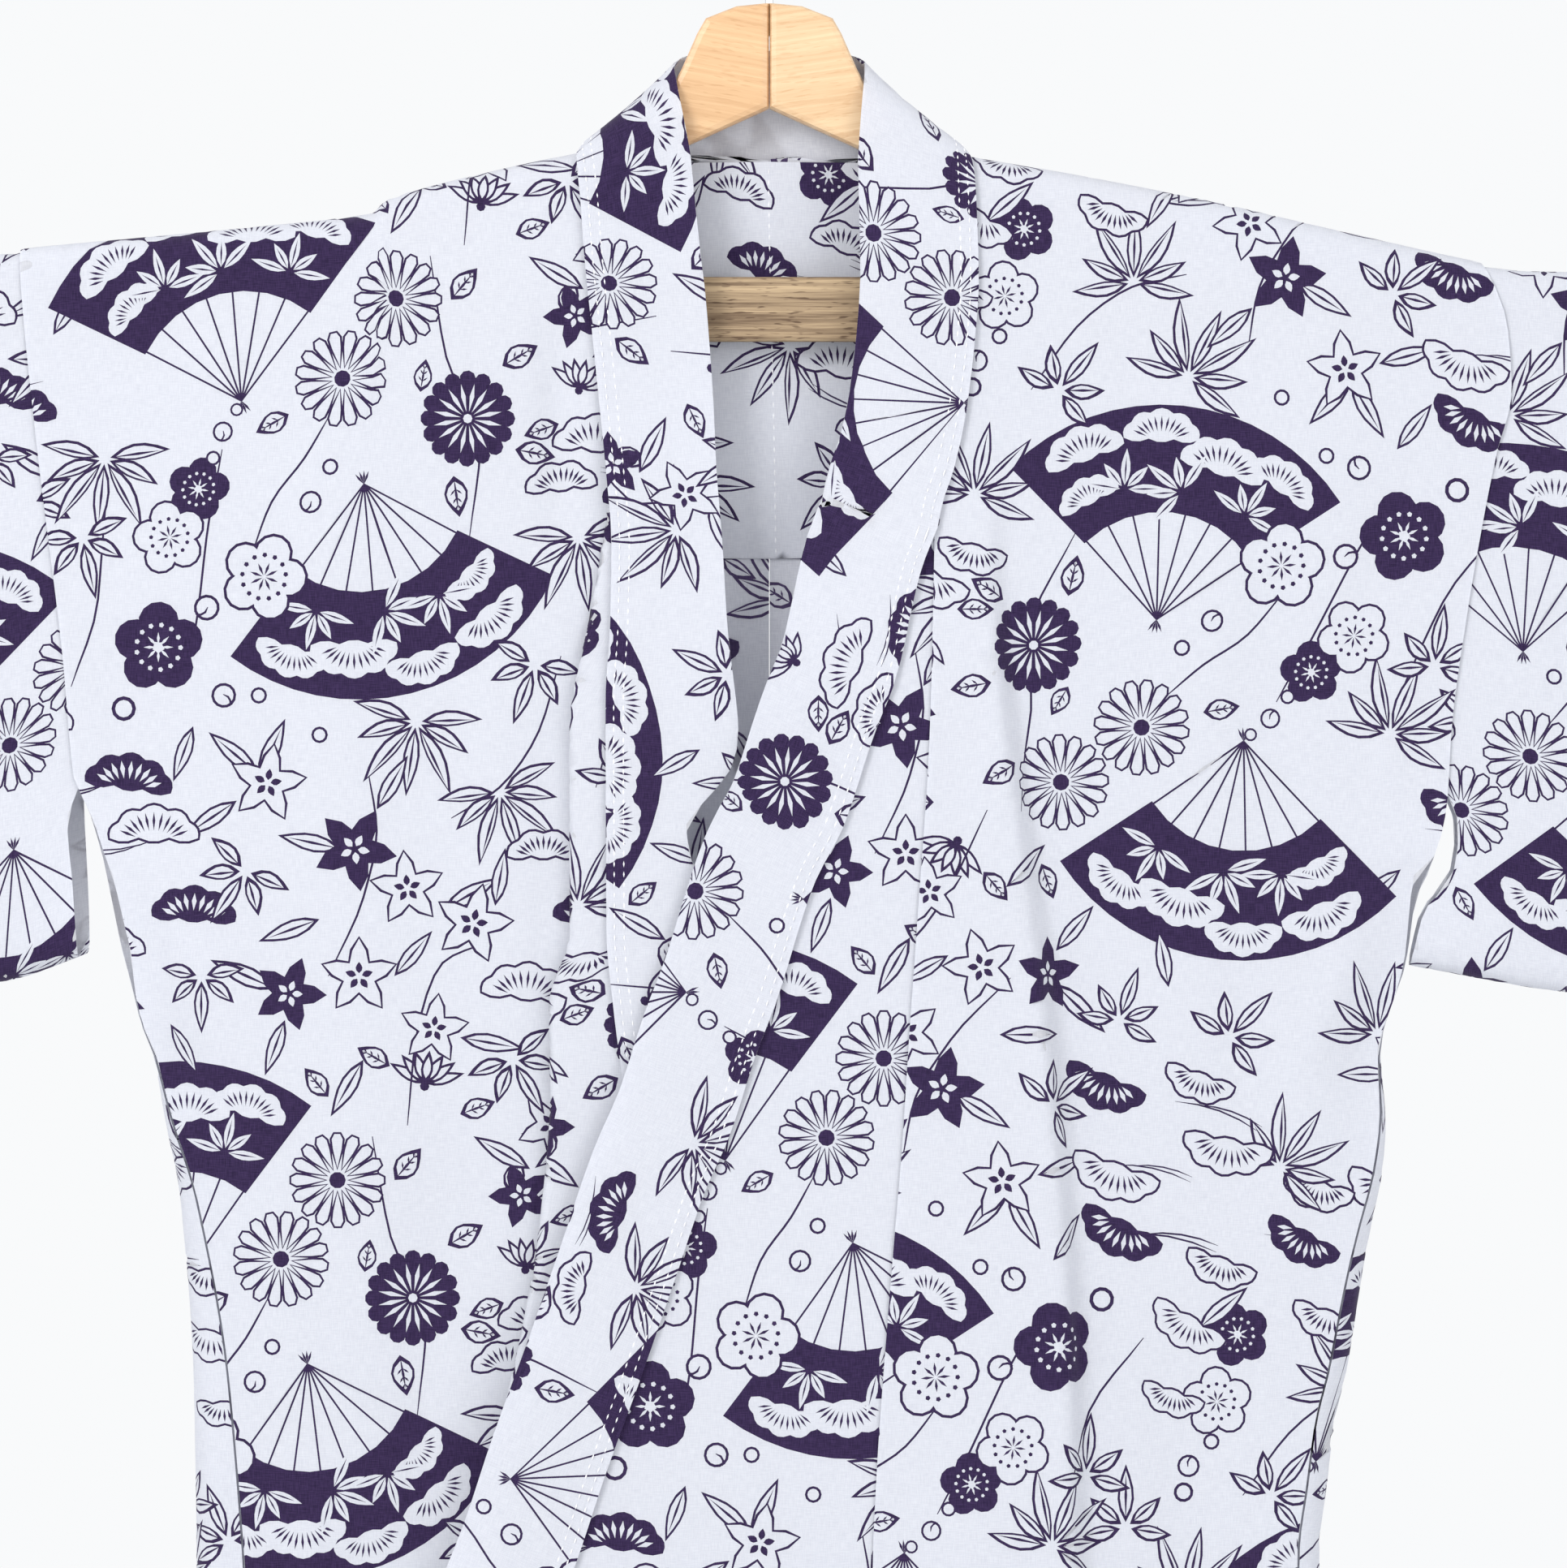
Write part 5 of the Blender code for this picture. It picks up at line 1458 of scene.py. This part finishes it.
def two_sided(name, cloth, shapes, ghost=(), thick=THIN, seams=()):
    """One piece of cloth: its printed face and its wrong side, joined at the cut edge."""
    build = Build()
    build.layer(cloth, shapes, OUTER_STEP, 0.5 * thick, (0, 1))
    # The wrong side takes the greyer cloth, whose white holds painted shade
    build.layer(cloth, list(ghost), INNER_STEP, -0.5 * thick, (2, 3))
    piece = build.finish(name, CLOTH_SLOTS)
    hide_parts(name)
    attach(piece, "root")
    sewn = [running_stitches(name + "_stitches", cloth, seams, thick)] if seams else []
    width, length, area = cloth.cut()
    return piece


def side_name(name, side):
    return name + ("_right" if side == RIGHT else "_left")


def make_body(side, at, angle):
    cloth = body_cloth(side)
    shapes = printed(cloth, at, angle)
    neck_low = (-10, -420) if side == LEFT else (-110, -420)
    neck_high = (110, 140) if side == LEFT else (10, 140)
    ghost = part_of(shapes, neck_low, neck_high)
    two_sided(side_name("body", side), cloth, shapes, ghost)


make_body(RIGHT, (-245, 245), 0)
make_body(LEFT, (221, 400), 200)
overlap = over_overlap_cloth()
two_sided("overlap_left", overlap, printed(overlap, (-20, 590), 0))
overlap = under_overlap_cloth()
two_sided("overlap_right", overlap, printed(overlap, (-60, 900), 180))
band = collar_cloth()
band_seams = [(3, band.t[-1] - 3, offset) for offset in (3.7, 8.1)]
two_sided("collar", band, printed(band, (40, 300), 90),
          thick=COLLAR_THIN, seams=band_seams)
for side, turn in ((LEFT, 190), (RIGHT, 12)):
    sleeve = sleeve_cloth(side)
    two_sided(side_name("sleeve", side), sleeve, printed(sleeve, (side * 395, 420), turn))
lining = lining_cloth()
centre_seam = (lining.t[0] + 3, lining.t[-1] - 3, 0.5 * lining.width[0])
two_sided("yoke_lining", lining, printed(lining, (28, 420), 20),
          seams=[centre_seam])

for name, finish in (("hanger_arm_left", BEECH_LEFT), ("hanger_arm_right", BEECH_RIGHT),
                     ("hanger_slat", SLAT_WOOD), ("hanger_hook", STEEL)):
    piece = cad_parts[name]
    for i in range(len(piece.material_slots)):
        piece.material_slots[i].material = finish


# Stage, light and camera

def floor():
    mesh = bpy.data.meshes.new("floor")
    size, z = 3.0, -1.62
    mesh.from_pydata([(-size, -size, z), (size, -size, z), (size, size, z), (-size, size, z)], [],
                     [(0, 1, 2, 3)])
    material, _, _, shader = new_material("floor")
    shader.inputs["Base Color"].default_value = (0.86, 0.87, 0.88, 1)
    shader.inputs["Roughness"].default_value = 0.8
    mesh.materials.append(material)
    added("floor", mesh)


def area_light(name, place, target, size, power, colour=(1, 1, 1)):
    data = bpy.data.lights.new(name, "AREA")
    data.shape = "RECTANGLE"
    data.size, data.size_y = size
    data.energy = power
    data.color = colour
    lamp = added(name, data)
    lamp.location = place
    lamp.rotation_euler = (Vector(target) - Vector(place)).to_track_quat("-Z", "Y").to_euler()


def studio():
    """An even white surround, a soft key from the upper left and a weaker fill."""
    world = bpy.data.worlds.new("studio")
    world.use_nodes = True
    surround = world.node_tree.nodes["Background"]
    surround.inputs["Color"].default_value = (0.965, 0.975, 0.985, 1)
    surround.inputs["Strength"].default_value = 0.98
    bpy.context.scene.world = world
    area_light("key", (-2.0, -2.4, 1.2), (0, 0, -0.4), (1.2, 1.2), 58)
    area_light("fill", (2.4, -2.6, -0.1), (0, 0, -0.5), (1.8, 1.8), 27)
    bpy.context.scene.view_settings.view_transform = "Standard"
    bpy.context.scene.cycles.diffuse_bounces = 3
    bpy.context.scene.cycles.transmission_bounces = 3


def camera():
    """Straight on, as in the photograph: 714.5 mm of the robe's front plane across the frame."""
    front_y, distance, across = -0.014, 3.0, 0.7145
    data = bpy.data.cameras.new("camera")
    data.sensor_fit = "HORIZONTAL"
    data.sensor_width = 36.0
    data.lens = data.sensor_width * distance / across
    data.clip_start, data.clip_end = 0.05, 60
    eye = added("camera", data)
    eye.location = (0.0065, front_y - distance, -0.4194)
    eye.rotation_euler = (math.pi / 2, 0, 0)
    bpy.context.scene.camera = eye


floor()
studio()
camera()
